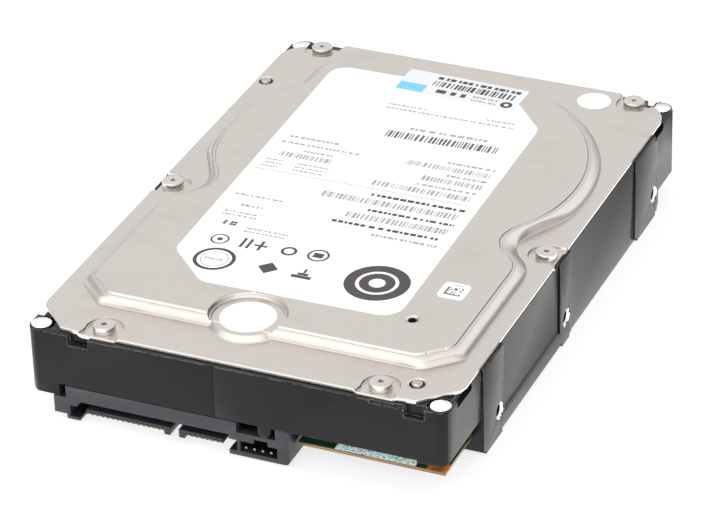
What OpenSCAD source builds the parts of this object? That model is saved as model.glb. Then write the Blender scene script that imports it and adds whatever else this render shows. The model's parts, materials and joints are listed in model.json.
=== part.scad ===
// Desktop hard disk drive, 3.5-inch form factor, with its whole mechanism inside.
// Origin: centre of the bottom face. +X across the width, +Y from the connector end
// to the rear, +Z up through the top cover. All sizes are in millimetres.

/* [Case] */
// Width over the side mounting bosses
case_w = 101.6; // [101.4:0.1:101.8]
// Length from the connector end to the rear end
case_l = 147; // [146.8:0.1:147.2]
// Height of the casting's rim
rim_z = 22.2; // [22.0:0.1:22.2]
// Radius of the vertical corners
corner_r = 2.6; // [2:0.1:3]
// How far the side bosses stand out from the casting's sides
boss_proud = 0.7; // [0.4:0.1:0.9]
// Width of the mounting rails under both sides
rail_w = 6.3; // [6:0.1:6.4]

/* [Mounting holes] */
// Wall radius of the 6-32 threaded mounting holes
mount_r = 1.5; // [1.35:0.05:1.6]
// Height of the side mounting holes
side_hole_z = 6.35; // [6.25:0.05:6.45]
// Depth of the side mounting holes
side_hole_depth = 5; // [4:0.5:5.5]
// Depth of the bottom mounting holes
bottom_hole_depth = 4.6; // [4:0.2:5.2]
// Spacing across the width between the bottom mounting holes
bottom_hole_span = 95.25; // [95.1:0.05:95.4]

/* [Cover] */
// Thickness of the cover sheet
sheet_t = 0.5; // [0.4:0.1:0.6]
// Top of the cover's flange
flange_z = 23.2; // [23.1:0.1:23.3]
// Top of the sloping band round the plateau
band_z = 24.6; // [24.4:0.1:24.8]
// Top of the plateau that carries the main label
plateau_z = 25.9; // [25.7:0.1:26]
// Radius of the round end of the plateau, over the disks
plateau_r = 43.9; // [43:0.1:44.5]
// Width of the sloping band round the plateau
band_w = 2.3; // [1.8:0.1:2.6]
// Depth of the recessed lands under the cover screws
land_depth = 0.7; // [0.6:0.05:0.75]

/* [Disk pack] */
// Outer radius of a platter
platter_r = 47.5; // [46:0.5:47.5]
// Thickness of a platter
platter_t = 1.27; // [1:0.01:1.27]
// Underside of the lower platter
platter_z = 12.6; // [12.6:0.1:12.7]
// Gap between the platters, set by the spacer
platter_gap = 3; // [3:0.01:3]
// Radius of the platter's centre hole
platter_bore_r = 12.5; // [12.5:0.01:12.55]

/* [Actuator] */
// Radius from the pivot to the heads
head_reach = 49.5; // [49:0.1:49.8]
// Direction of the arms when parked, counter-clockwise from +X
park_angle = 163.8; // [163:0.1:164.5]
// Thickness of an arm
arm_t = 1.4; // [1.2:0.1:1.4]
// Half angle of the voice coil
coil_half_angle = 16; // [14:0.5:16]

/* [Hidden] */
$fn = 96;
fine = 0.05;               // overlap that keeps neighbouring cuts and joins clean
far = 300;                 // longer than the whole drive

// Distance from the connector end turned into a Y position
function from_front(d) = d - case_l / 2;
// A point at radius r and angle a, seen from the actuator's pivot
function from_pivot(r, a) = pivot + r * [cos(a), sin(a)];

// Main axes and places
spindle = [0, 21.4];
pivot = [16, -31];
pad = [-4.1, -55.7];       // round pad in the cover's front edge
latch_at = from_pivot(33, -60);
breather_at = [30.8, -45.6];
front_y = -case_l / 2;
side_x = case_w / 2;

// Heights in the casting
deck_z = 7.6;              // underside of the floor over the circuit board
floor_z = 9.8;             // floor of the actuator chamber
disk_floor_z = 11.4;       // raised floor under the disks
front_ledge_z = 10.9;      // floor beside the connector bay
bay_z = 9.2;               // roof of the connector bay
rear_z = 5.25;             // underside behind the circuit board
motor_z = 3.4;             // underside of the motor
pad_z = rim_z + 0.2;       // machined tops of the corner posts

// Plan sizes in the casting
disk_pocket_r = 48.2;
disk_shade_r = 54.6;       // reach of the actuator's clearance pocket
motor_well_r = 17.5;
chamber_x = 45;
chamber_front_y = -63.5;
chamber_back_y = -9;
chamber_chamfer = 9.5;
land_r = 4.2;
land_clear_r = land_r + sheet_t + 0.1;

side_holes = [for (d = [28.5, 70.1, 130.1]) from_front(d)];
bottom_holes = [for (d = [41.28, 85.73]) from_front(d)];
side_bosses = [[19.2, 31.2], [66.2, 73.3], [117, 132.4]];
front_screws = [33, -68.7];
middle_screws = [46.8, -5.4];
rear_screws = [41.2, 68.9];
cover_screw_spots = [front_screws, middle_screws, rear_screws];
corner_posts = [47.6, 70.6];
post_r = 2.3;              // bare tops of the corner posts
rail_top = 4;              // top of the ledge between the first two side bosses
corner_notches = [[-67.5, -59.2], [57.3, 64.3]];   // along Y, beside the posts
notch_z = 20.2;
locating_spots = [[-47.6, 49.0], [40.1, -65.5]];
locating_r = 1.3;
locating_gap = 0.45;        // between a locating pin and the cover's hole
board_screw_spots = [[-40, -54.5], [41, -61.5], [-40, 7.5], [40, 7.5], [28, -22], [-29, -22]];
yoke_span = [-83, 15];     // angles covered by the yokes, from the pivot
yoke_r = [12, 27.8];
post_angles = [-77.1, 8.9];
post_reach = 24;

// Disk pack heights
upper_z = platter_z + platter_t + platter_gap;
pack_top_z = upper_z + platter_t;
disk_levels = [platter_z, upper_z];

// Head stack heights: each arm carries a sheet towards every disk face next to it
head_gap = 0.6;            // from a disk face to a suspension sheet
susp_t = 0.2;
face_step = head_gap + susp_t;
sheet_levels = [
    platter_z - face_step,
    platter_z + platter_t + head_gap,
    upper_z - face_step,
    pack_top_z + head_gap,
];
arm_levels = [
    sheet_levels[0] - arm_t,
    sheet_levels[1] + susp_t,
    sheet_levels[3] + susp_t,
];
stack_z = [arm_levels[0], arm_levels[2] + arm_t];
coil_z = [14.37, 16.37];
tail_angle = park_angle - 180;
lower_yoke_top = 12.1;
upper_yoke_bottom = 18.65;
upper_yoke_top = 20.85;
magnet_t = 1.8;

// Circuit board heights
board_z = [4.05, 4.85];

// ---------- shared shapes ----------

module at(p) { translate([p[0], p[1], 0]) children(); }

module slab(z0, z1) { translate([0, 0, z0]) linear_extrude(z1 - z0) children(); }

module both_sides() {
    children();
    mirror([1, 0, 0]) children();
}

// Children drawn for the front right corner post, repeated at all four corners
module all_corners() {
    both_sides() for (sy = [0, 1])
        mirror([0, sy]) translate([corner_posts[0], -corner_posts[1]]) children();
}

// Rectangle with round corners, centred
module rounded(w, l, r) {
    square([w - 2 * r, l], center = true);
    square([w, l - 2 * r], center = true);
    for (sx = [-1, 1], sy = [-1, 1])
        translate([sx * (w / 2 - r), sy * (l / 2 - r)]) circle(r);
}

// Rectangle from corner p to corner q
module box2d(p, q) { translate(p) square([q[0] - p[0], q[1] - p[1]]); }

module block(p, q) { translate(p) cube([q[0] - p[0], q[1] - p[1], q[2] - p[2]]); }

module ring(r0, r1, z0, z1) {
    slab(z0, z1) difference() {
        circle(r1);
        circle(r0);
    }
}

// Part of a flat ring between two angles
module sector2d(r0, r1, a0, a1) {
    middle = (a0 + a1) / 2;
    reach = 2 * r1;
    difference() {
        intersection() {
            circle(r1);
            polygon([
                [0, 0],
                reach * [cos(a0), sin(a0)],
                reach * [cos(middle), sin(middle)],
                reach * [cos(a1), sin(a1)],
            ]);
        }
        circle(r0);
    }
}

// Profile drawn in Y and Z, extruded along X between x0 and x1
module across(x0, x1) {
    translate([x0, 0, 0]) rotate([90, 0, 90]) linear_extrude(x1 - x0) children();
}

// ---------- casting ----------

// Outer plan of the casting without its side bosses
module casting_outline() { rounded(case_w - 2 * boss_proud, case_l, corner_r); }

// Plan of the sealed chamber: the disk pocket joined to the actuator pocket
module chamber2d() {
    difference() {
        union() {
            at(spindle) circle(disk_pocket_r);
            actuator_pocket2d(0);
        }
        both_sides() at(middle_screws) circle(5.2);
    }
}

// Plan of the actuator pocket, grown outwards by g
module actuator_pocket2d(g) {
    x = chamber_x + g;
    y = chamber_front_y - g;
    c = chamber_chamfer;
    polygon([
        [-x, chamber_back_y], [-x, y + c], [-x + c, y],
        [x - c, y], [x, y + c], [x, chamber_back_y],
    ]);
}

// Floor areas that stand above the chamber's general floor
module raised_floor() {
    slab(floor_z - 1, disk_floor_z) difference() {
        at(spindle) circle(disk_pocket_r + 1);
        at(pivot) circle(disk_shade_r);
    }
    block([-chamber_x - 1, chamber_front_y - 1, floor_z - 1], [15, -60.5, front_ledge_z]);
}

module casting_body() {
    rail_front = from_front(side_bosses[0][0]);
    rail_back = from_front(135.35);
    boss_x = side_x - boss_proud - fine;
    slab(deck_z, rim_z) casting_outline();
    both_sides() {
        // rails that carry the mounting holes
        across(side_x - rail_w, side_x - boss_proud) polygon([
            [rail_front, deck_z + fine], [rail_front, 0.9], [rail_front + 1.2, 0],
            [rail_back - 1.2, 0], [rail_back, 1.2], [rail_back, deck_z + fine],
        ]);
        // ledge between the first two bosses
        slab(0.9, rail_top)
            box2d([boss_x, rail_front], [side_x, from_front(side_bosses[1][1])]);
        for (b = side_bosses) {
            slab(0.9, rim_z) box2d([boss_x, from_front(b[0])], [side_x, from_front(b[1])]);
            slab(0, 0.9 + fine)
                box2d([boss_x, from_front(b[0]) + 1.2], [side_x, from_front(b[1]) - 1.2]);
        }
        // rear corner, half as proud as the bosses
        slab(rear_z, rim_z) box2d(
            [boss_x, from_front(side_bosses[2][1]) - fine],
            [side_x - boss_proud / 2, case_l / 2 - corner_r]
        );
    }
    slab(rear_z, deck_z + fine) intersection() {
        casting_outline();
        box2d([-side_x, 15], [side_x, case_l / 2]);
    }
    at(spindle) slab(motor_z, deck_z + fine) circle(motor_well_r + 2.5);
    for (p = board_screw_spots) at(p) slab(board_z[1], bay_z + fine) circle(2.3);
    // machined pads on the corner posts
    slab(rim_z - fine, pad_z) all_corners() circle(post_r);
    // radial ribs under the disk floor
    for (a = [30:30:150])
        at(spindle) rotate(a) block([motor_well_r, -0.6, rear_z - 0.8], [38, 0.6, rear_z + fine]);
}

// Open space under the front of the casting, for the connectors and the board's edge
module front_bay() {
    block([-side_x - 1, front_y - 1, -1], [14, -61.5, bay_z]);
    block([14, front_y - 1, -1], [side_x + 1, -66, bay_z]);
    both_sides()
        block([side_x - rail_w, front_y - 1, -1], [side_x + 1, from_front(19.2), bay_z + 0.3]);
}

// Corner of the casting that reaches down to z, with a rounded lower edge
module front_foot(x, z, r) {
    outer = side_x - boss_proud;
    depth = 6.5;
    block([x, front_y, z], [outer - r, front_y + depth, bay_z + 1]);
    block([x, front_y, z + r], [outer, front_y + depth, bay_z + 1]);
    translate([outer - r, front_y, z + r]) rotate([-90, 0, 0]) cylinder(r = r, h = depth);
}

module front_feet() {
    intersection() {
        slab(0, bay_z + 1) casting_outline();
        union() {
            mirror([1, 0, 0]) front_foot(43, 6.2, 1.8);
            front_foot(43, 8.6, 1.2);
        }
    }
    // tab that reaches down into the jumper recess
    tab_r = 1.4;
    translate([7, front_y, 7.9]) rotate([-90, 0, 0]) cylinder(r = tab_r, h = 3);
    block([7 - tab_r, front_y, 7.9], [7 + tab_r, front_y + 3, bay_z + fine]);
}

// Notches in both sides beside the corner posts
module corner_notches2d() {
    both_sides() for (span = corner_notches)
        box2d([side_x - 2.2, span[0]], [side_x + 1, span[1]]);
}

// Groove that frees the inner side of each corner post
module post_grooves() {
    slab(notch_z, far) all_corners() sector2d(post_r, post_r + 0.8, 65, 205);
}

// Notches in the rear rim between the cover's corners and the corner posts
module rear_notches() {
    both_sides() block([43.3, 69.9, 20.8], [corner_posts[0] - post_r, case_l / 2 + 1, far]);
}

// Pockets, step and seam in the front face
module front_relief() {
    block([-39.9, front_y - 1, 19.7], [-34.9, front_y + 1.6, far]);
    block([40.1, front_y - 1, 19.5], [44.9, front_y + 1.6, far]);
    block([32.2, front_y - 1, 21.4], [40.2, front_y + 0.5, far]);
    block([-4.8, front_y - 1, -1], [-4.55, front_y + 0.15, far]);
}

module side_mount_hole(y) {
    translate([side_x - side_hole_depth, y, side_hole_z]) rotate([0, 90, 0]) {
        cylinder(r = mount_r, h = side_hole_depth + 1);
        translate([0, 0, side_hole_depth - 0.5]) cylinder(r1 = mount_r, r2 = mount_r + 0.6, h = 0.51);
    }
}

module screw_holes() {
    both_sides() {
        for (y = side_holes) side_mount_hole(y);
        for (y = bottom_holes) at([bottom_hole_span / 2, y]) slab(-1, bottom_hole_depth) circle(mount_r);
        for (p = cover_screw_spots) at(p) slab(14, far) circle(1.2);
        slab(flange_z - land_depth - sheet_t, far)
            for (p = cover_screw_spots) land2d(p, land_clear_r);
    }
    for (p = board_screw_spots) at(p) slab(1, 8.4) circle(0.9);
    for (p = locating_spots) at(p) slab(17, far) circle(locating_r);
    for (a = post_angles) at(from_pivot(post_reach, a)) slab(8.4, far) circle(0.9);
    at(pivot) slab(8.2, far) circle(2.4);
    at(latch_at) slab(8.2, far) circle(0.9);
    at(ramp_foot) slab(8.2, far) circle(0.8);
}

module base_casting() {
    color("#34312f") union() {
        difference() {
            casting_body();
            difference() {
                slab(floor_z, far) chamber2d();
                raised_floor();
            }
            at(spindle) slab(-1, far) circle(motor_well_r);
            front_bay();
            slab(notch_z, far) corner_notches2d();
            post_grooves();
            rear_notches();
            front_relief();
            screw_holes();
            head_connector_slot(0.25);
        }
        // standoff of the board screw that stands inside the front bay
        at(board_screw_spots[1]) ring(0.9, 2.3, board_z[1], bay_z + 0.5);
        front_feet();
    }
}

// ---------- cover ----------

// Plan of the cover: cut across its front corners, round at its rear corners
module cover_outline() {
    rear_r = 7.1;
    rear_at = [43.1, 62.5];
    difference() {
        box2d([-50.2, -72.3], [50.2, 73]);
        both_sides() {
            polygon([
                [41.9, -74], [41.9, -72.3], [44.4, -69.7], [47.4, -67],
                [49.6, -64.7], [50.2, -62.6], [51, -62.6], [51, -74],
            ]);
            difference() {
                box2d(rear_at, [51, 74]);
                at(rear_at) circle(rear_r);
            }
            box2d([37.5, 71.1], [rear_at[0] + fine, 74]);
            box2d([49.7, -9], [51, -1.8]);
        }
    }
}

// Plan of the plateau, grown outwards by g
module plateau2d(g) {
    half = plateau_r + 0.05 + g;
    cut = 5.8 - 0.4 * g;
    difference() {
        union() {
            at(spindle) circle(plateau_r + g);
            polygon([
                [-half, 0], [-half, -58.5 - g + cut], [-half + cut, -58.5 - g],
                [half - cut, -58.5 - g], [half, -58.5 - g + cut], [half, 0],
            ]);
            translate([-29.5, 55 + g]) circle(5.5);
            box2d([-35 - g, 44], [-20, 55 + g]);
            box2d([-29.5, 44], [-15, 60.5 + g]);
        }
        both_sides() at(middle_screws) circle(10.9 - g);
    }
}

// Recessed land under a cover screw, open towards the cover's edge
module land2d(p, r) {
    out = abs(p[0]) > 45 ? [1, 0] : [0, sign(p[1])];
    at(p) circle(r);
    at(p + r * out) square(2 * r, center = true);
}

module top_cover() {
    inner = -sheet_t;
    land_z = flange_z - land_depth;
    color("#cdc9c6") difference() {
        union() {
            slab(flange_z - sheet_t, flange_z) difference() {
                cover_outline();
                both_sides() for (p = cover_screw_spots) land2d(p, land_r);
            }
            slab(flange_z - sheet_t, band_z) {
                plateau2d(band_w);
                at(pad) circle(8.6);
            }
            slab(flange_z - sheet_t, plateau_z) difference() {
                plateau2d(0);
                at(pad) circle(8.8);
            }
            slab(land_z - sheet_t, flange_z) intersection() {
                cover_outline();
                both_sides() for (p = cover_screw_spots) land2d(p, land_r + sheet_t);
            }
        }
        slab(0, band_z - sheet_t) difference() {
            union() {
                plateau2d(band_w + inner);
                at(pad) circle(8.6 + inner);
            }
            both_sides() for (p = cover_screw_spots) land2d(p, land_r + sheet_t);
        }
        slab(0, plateau_z - sheet_t) difference() {
            plateau2d(inner);
            at(pad) circle(8.8 + sheet_t);
        }
        both_sides() for (p = cover_screw_spots) {
            slab(land_z, far) land2d(p, land_r);
            at(p) slab(0, far) circle(1.4);
        }
        for (p = locating_spots) at(p) slab(0, far) circle(locating_r + locating_gap);
        at(breather_at) slab(0, far) circle(1.05);
    }
}

module cover_gasket() {
    color("#3a3a3c") slab(rim_z, flange_z - sheet_t) difference() {
        intersection() {
            rounded(99, 143.4, 3);
            cover_outline();
        }
        corner_notches2d();
        at(spindle) circle(disk_pocket_r + 0.25);
        difference() {
            actuator_pocket2d(0.4);
            both_sides() at(middle_screws) circle(4.9);
        }
        both_sides() for (p = cover_screw_spots) land2d(p, land_clear_r + 0.1);
        for (p = locating_spots) at(p) circle(locating_r + locating_gap + 0.2);
        all_corners() circle(post_r + 0.9);
    }
}

module cover_screws() {
    land_z = flange_z - land_depth;
    color("#b9b4af") both_sides() for (p = cover_screw_spots) at(p) difference() {
        rotate_extrude() polygon([
            [0, 14.4], [1.18, 14.4], [1.18, land_z], [2.55, land_z],
            [2.55, land_z + 1.3], [2.15, land_z + 1.7], [0, land_z + 1.7],
        ]);
        slab(land_z + 0.9, far) circle(0.8, $fn = 6);
    }
}

module locating_pins() {
    color("#c8c6c2") for (p = locating_spots) at(p)
        slab(17, flange_z + 0.35) circle(locating_r);
}

// ---------- labels and filters ----------

module main_label2d() {
    rotate(0.87) difference() {
        translate([-2.4, 5.4]) rounded(58.4, 105, 4);
        polygon([[17.5, 60], [28, 48.5], [28, 60]]);
        polygon([[-33, -34.5], [-19, -48.5], [-33, -48.5]]);
    }
}

module asset_label2d() {
    translate([1.4, 56.2]) rotate(-2) rounded(31.6, 11, 0.6);
}

module main_label() {
    color("#f4f4f2") slab(plateau_z, plateau_z + 0.1) main_label2d();
}

module asset_label() {
    color("#dfe1e4") {
        slab(plateau_z, plateau_z + 0.1) difference() {
            intersection() {
                asset_label2d();
                plateau2d(0);
            }
            main_label2d();
        }
        slab(plateau_z + 0.1, plateau_z + 0.2) intersection() {
            asset_label2d();
            plateau2d(0);
        }
    }
}

module front_round_seal() {
    color("#f6f6f5") at(pad) slab(band_z, band_z + 0.12) circle(6.4);
}

module rear_round_seal() {
    color("#f6f6f5") at([31.8, 66.7]) slab(flange_z, flange_z + 0.1) circle(4.1);
}

module code_sticker() {
    color("#f2f2f0") at([35, -31.7]) slab(plateau_z, plateau_z + 0.1) rounded(6.3, 6.6, 1.3);
}

module breather_filter() {
    color("#2b2b2c") at(breather_at) ring(1.2, 5.5, plateau_z - sheet_t - 1.8, plateau_z - sheet_t);
}

module recirculation_filter() {
    color("#efeee9") at([-41.6, -32]) slab(floor_z, 18.5) rounded(5, 9, 1.5);
}

module desiccant_pack() {
    color("#d9dde0") at([-30, -52]) slab(floor_z, 15.5) rounded(15, 11, 2);
}

// ---------- spindle motor and disks ----------

sleeve_r = 3.5;
shaft_r = 2;
hub_r = platter_bore_r - 0.1;
hub_flange_r = 16;
skirt_r = 12.6;
skirt_z = 6.6;
magnet_r = [10.7, 11.7];
slots = 9;
tooth_tip_r = 10.5;

module motor_base() {
    color("#a9abad") at(spindle) rotate_extrude() polygon([
        [0, motor_z], [motor_well_r, motor_z], [motor_well_r, 5.9], [5.2, 5.9],
        [5.2, 10.2], [sleeve_r, 10.2], [sleeve_r, 4.4], [0, 4.4],
    ]);
}

module bearing_sleeve() {
    color("#b8863b") at(spindle) ring(shaft_r + 0.03, sleeve_r, 4.4, 12.2);
}

module stator_core() {
    tooth_w = 1.5;
    color("#7c7f83") at(spindle) slab(7.6, 10.0) {
        difference() {
            circle(6.8);
            circle(5.2);
        }
        for (i = [0:slots - 1]) rotate(i * 360 / slots) {
            box2d([6, -tooth_w / 2], [9.8, tooth_w / 2]);
            sector2d(9.6, tooth_tip_r, -15, 15);
        }
    }
}

module stator_coils() {
    color("#b5642c") at(spindle) for (i = [0:slots - 1]) rotate(i * 360 / slots) difference() {
        block([6.9, -1.45, 6.9], [9.45, 1.45, 10.7]);
        block([6, -0.76, 7.58], [10, 0.76, 10.02]);
    }
}

module spindle_shaft() {
    color("#d6d6d4") at(spindle) slab(4.7, 17.6) circle(shaft_r);
}

module rotor_hub() {
    web_z = 12.45;
    hub_top = pack_top_z - 0.2;
    color("#c3c5c7") at(spindle) difference() {
        rotate_extrude() polygon([
            [shaft_r, web_z], [4, web_z], [4, 11.2], [magnet_r[1], 11.2],
            [magnet_r[1], skirt_z], [skirt_r, skirt_z], [skirt_r, 11],
            [hub_flange_r, 11.5], [hub_flange_r, platter_z], [hub_r, platter_z],
            [hub_r, hub_top], [shaft_r, hub_top],
        ]);
        clamp_screw_holes();
    }
}

module clamp_screw_holes() {
    for (i = [0:5]) rotate(i * 60) translate([8.8, 0]) slab(13.6, far) circle(1);
}

module rotor_magnet() {
    color("#55585c") at(spindle) ring(magnet_r[0], magnet_r[1], skirt_z + 0.2, 11.15);
}

module platter(z) {
    color("#cfd3d8") at(spindle) ring(platter_bore_r, platter_r, z, z + platter_t);
}

module lower_platter() { platter(platter_z); }

module upper_platter() { platter(upper_z); }

module disk_spacer() {
    color("#b9bcc0") at(spindle) ring(platter_bore_r, hub_flange_r, platter_z + platter_t, upper_z);
}

module disk_clamp() {
    color("#d2d4d6") at(spindle) difference() {
        rotate_extrude() polygon([
            [3.2, pack_top_z - 0.1], [hub_r, pack_top_z], [hub_flange_r, pack_top_z],
            [hub_flange_r, pack_top_z + 0.9], [13, pack_top_z + 1.1], [3.2, pack_top_z + 0.7],
        ]);
        clamp_screw_holes();
    }
}

module clamp_screws() {
    head_z = pack_top_z + 1.05;
    color("#8f9296") at(spindle) for (i = [0:5]) rotate(i * 60) translate([8.8, 0]) difference() {
        union() {
            slab(14, head_z + fine) circle(0.98);
            slab(head_z, head_z + 0.9) circle(1.7);
        }
        slab(head_z + 0.4, far) circle(0.7, $fn = 6);
    }
}

// ---------- head actuator ----------

block_r = 6.9;
sleeve_bore_r = 4.98;
sleeve_outer_r = 5.7;
arm_tip_r = 34;

// Plan of one arm, pointing along +X from the pivot
module arm2d() {
    difference() {
        union() {
            circle(block_r);
            polygon([[0, -block_r], [0, block_r], [31, 3.4], [31, -3.4]]);
            translate([arm_tip_r - 3.4, 0]) circle(3.4);
        }
        translate([17.5, 0]) circle(2.7);
        translate([24, 0]) circle(1.9);
        translate([30.6, 0]) circle(1.3);
        circle(sleeve_outer_r);
    }
}

module arm_block() {
    color("#b4b8bc") at(pivot) rotate(park_angle) {
        ring(sleeve_outer_r, block_r, stack_z[0], stack_z[1]);
        for (z = arm_levels) slab(z, z + arm_t) arm2d();
    }
}

module arm_flex() {
    color("#c98b3c") at(pivot) slab(stack_z[0] + 0.6, stack_z[1] - 0.6)
        sector2d(block_r, block_r + 0.15, park_angle + 92, park_angle + 135);
}

module preamp_chip() {
    color("#2c2d30") at(pivot) rotate(park_angle + 112)
        block([block_r + 0.2, -1.6, 12.6], [block_r + 0.8, 1.6, 16.6]);
}

module head_suspensions() {
    head = head_reach;
    color("#cfcfcc") at(pivot) rotate(park_angle) for (z = sheet_levels) slab(z, z + susp_t) {
        difference() {
            polygon([
                [27.5, -3.1], [33.5, -3.1], [head - 1, -1.1], [head + 1, -0.8], [head + 1, -0.35],
                [head + 3.6, -0.35], [head + 3.6, 0.35], [head + 1, 0.35], [head + 1, 0.8],
                [head - 1, 1.1], [33.5, 3.1], [27.5, 3.1],
            ]);
            translate([30.6, 0]) circle(1.3);
            translate([38, 0]) circle(0.8);
        }
    }
}

module head_sliders() {
    slider_t = head_gap - 0.06;
    color("#3b3d42") at(pivot) rotate(park_angle) for (i = [0:3]) {
        under = (i % 2 == 0);
        z = under ? sheet_levels[i] + susp_t : sheet_levels[i] - slider_t;
        block([head_reach - 0.62, -0.5, z], [head_reach + 0.62, 0.5, z + slider_t]);
    }
}

module coil_frame() {
    half = coil_half_angle + 3.5;
    color("#26272a") at(pivot) rotate(tail_angle) slab(coil_z[0], coil_z[1]) {
        difference() {
            sector2d(block_r, 27, -half, half);
            sector2d(13.9, 26.05, -coil_half_angle - 0.3, coil_half_angle + 0.3);
        }
        // finger that the latch catches
        sector2d(26.5, 29.2, -17, -13);
    }
}

module voice_coil() {
    color("#b5602a") at(pivot) rotate(tail_angle) slab(coil_z[0], coil_z[1]) difference() {
        sector2d(14, 26, -coil_half_angle, coil_half_angle);
        sector2d(17.5, 22.8, -coil_half_angle + 6.5, coil_half_angle - 6.5);
    }
}

// ---------- pivot cartridge ----------

ball_r = 0.55;
ball_orbit_r = 3.66;
inner_ring_r = [2.4, 3.08];
outer_ring_r = [4.24, sleeve_bore_r];
bearing_levels = [[10.9, 13.1], [17.6, 19.8]];
balls = 11;

module pivot_sleeve() {
    color("#c9c9c6") at(pivot) ring(sleeve_bore_r, sleeve_outer_r, stack_z[0], stack_z[1]);
}

module pivot_outer_rings() {
    color("#a5a7aa") at(pivot)
        for (z = bearing_levels) ring(outer_ring_r[0], outer_ring_r[1], z[0], z[1]);
}

module pivot_inner_rings() {
    color("#a5a7aa") at(pivot)
        for (z = bearing_levels) ring(inner_ring_r[0], inner_ring_r[1], z[0], z[1]);
}

module pivot_balls() {
    color("#dcdcda") at(pivot) for (z = bearing_levels, i = [0:balls - 1])
        rotate(i * 360 / balls) translate([ball_orbit_r, 0, (z[0] + z[1]) / 2])
            sphere(ball_r, $fn = 24);
}

module pivot_shaft() {
    color("#bfc1c2") at(pivot) difference() {
        union() {
            slab(8.2, 20.9) circle(inner_ring_r[0]);
            slab(floor_z, 10.3) circle(3.6);
        }
        slab(13, far) circle(1);
    }
}

module pivot_screw() {
    color("#8f9296") at(pivot) difference() {
        union() {
            slab(13.4, 20.95) circle(0.98);
            slab(20.9, 21.9) circle(2.3);
        }
        slab(21.3, far) circle(0.9, $fn = 6);
    }
}

// ---------- voice coil motor ----------

module yoke2d() {
    difference() {
        sector2d(yoke_r[0], yoke_r[1], yoke_span[0], yoke_span[1]);
        for (a = post_angles) translate(post_reach * [cos(a), sin(a)]) circle(0.95);
    }
}

module lower_yoke() {
    color("#a4a7ab") at(pivot) slab(floor_z, lower_yoke_top) yoke2d();
}

module upper_yoke() {
    color("#a4a7ab") at(pivot) slab(upper_yoke_bottom, upper_yoke_top) yoke2d();
}

module drive_magnets() {
    middle = (post_angles[0] + post_angles[1]) / 2;
    color("#c6c8ca") at(pivot)
        for (z = [lower_yoke_top, upper_yoke_bottom - magnet_t], s = [-1, 1])
            slab(z, z + magnet_t)
                sector2d(14, 26.5, middle + (s < 0 ? -35 : 0.3), middle + (s < 0 ? -0.3 : 35));
}

module yoke_posts() {
    color("#b9bbbe") for (a = post_angles) at(from_pivot(post_reach, a))
        ring(0.95, 1.5, lower_yoke_top, upper_yoke_bottom);
}

module yoke_screws() {
    color("#8f9296") for (a = post_angles) at(from_pivot(post_reach, a)) difference() {
        union() {
            slab(8.6, upper_yoke_top + fine) circle(0.88);
            slab(upper_yoke_top, upper_yoke_top + 0.9) circle(1.9);
        }
        slab(upper_yoke_top + 0.4, far) circle(0.75, $fn = 6);
    }
}

module crash_stops() {
    color("#1d1d1f") for (a = post_angles) at(from_pivot(post_reach, a))
        ring(1.55, 2.25, coil_z[0] - 1.2, coil_z[1] + 1.2);
}

module latch_lever() {
    hook = from_pivot(31.2, -36) - latch_at;
    reach = norm(hook);
    color("#e2dfd2") at(latch_at) slab(14.4, 16.3) difference() {
        union() {
            circle(2.2);
            rotate(atan2(hook[1], hook[0])) {
                polygon([[0, -1.6], [reach, -0.8], [reach, 0.7], [0, 1.0]]);
                box2d([reach - 0.9, -0.8], [reach, 1.7]);
            }
            // counterweight
            rotate(188) box2d([0, -0.9], [6.2, 1.1]);
        }
        circle(0.95);
    }
}

module latch_pin() {
    color("#c8c6c2") at(latch_at) {
        slab(8.2, 17.4) circle(0.88);
        slab(floor_z, 14.2) circle(1.7);
    }
}

// ---------- parking ramp and flex ----------

ramp_foot = from_pivot(57.6, park_angle + 2.5);

module load_ramp() {
    z0 = sheet_levels[0] + susp_t + 0.06;
    z1 = sheet_levels[1] - 0.06;
    lift = upper_z - platter_z;
    slot = 0.12;
    color("#e9e6da") difference() {
        union() {
            for (k = [0, 1]) at(pivot) slab(z0 + k * lift, z1 + k * lift)
                sector2d(51.1, 55.2, park_angle - 6.6, park_angle + 4.5);
            at(pivot) slab(floor_z, z1 + lift)
                sector2d(54.2, 60.5, park_angle - 1, park_angle + 5);
        }
        for (z = disk_levels) at(spindle) slab(z - slot, z + platter_t + slot) circle(platter_r + 0.5);
        at(ramp_foot) slab(0, far) circle(0.82);
        at(ramp_foot) slab(11.6, far) circle(1.7);
    }
}

module ramp_screw() {
    color("#8f9296") at(ramp_foot) difference() {
        union() {
            slab(8.4, 11.65) circle(0.78);
            slab(11.6, 12.4) circle(1.5);
        }
        slab(12, far) circle(0.6, $fn = 6);
    }
}

flex_from = [-2, -53.5];
flex_to = from_pivot(block_r + 0.75, -104);

// Slack loop between the head connector and the actuator, standing on edge
module flex_loop() {
    loop_r = 6.2;
    t = 0.2;
    centre = [flex_to[0] - 3.6, flex_to[1] - loop_r - 0.3];
    color("#c98b3c") slab(11.6, 18.6) {
        at(centre) sector2d(loop_r - t, loop_r, -92, 92);
        box2d([flex_from[0], centre[1] - loop_r], [centre[0] + 0.1, centre[1] - loop_r + t]);
    }
}

module head_connector_slot(g) {
    block([-12 - g, -59.2 - g, 6], [0 + g, -55.4 + g, far]);
}

module head_connector() {
    color("#37302a") {
        block([-12, -59.2, 5.6], [0, -55.4, front_ledge_z + fine]);
        block([-13.5, -60.2, front_ledge_z], [3, -54.2, 11.5]);
        block([-13.5, -54.2, front_ledge_z], [3, -50.5, 11.3]);
        block([-8, -52.4, 11.3], [-2.1, -50.6, 18.6]);
    }
}

// ---------- electronics ----------

board_back_y = 12;
board_bay_y = -61.7;

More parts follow.
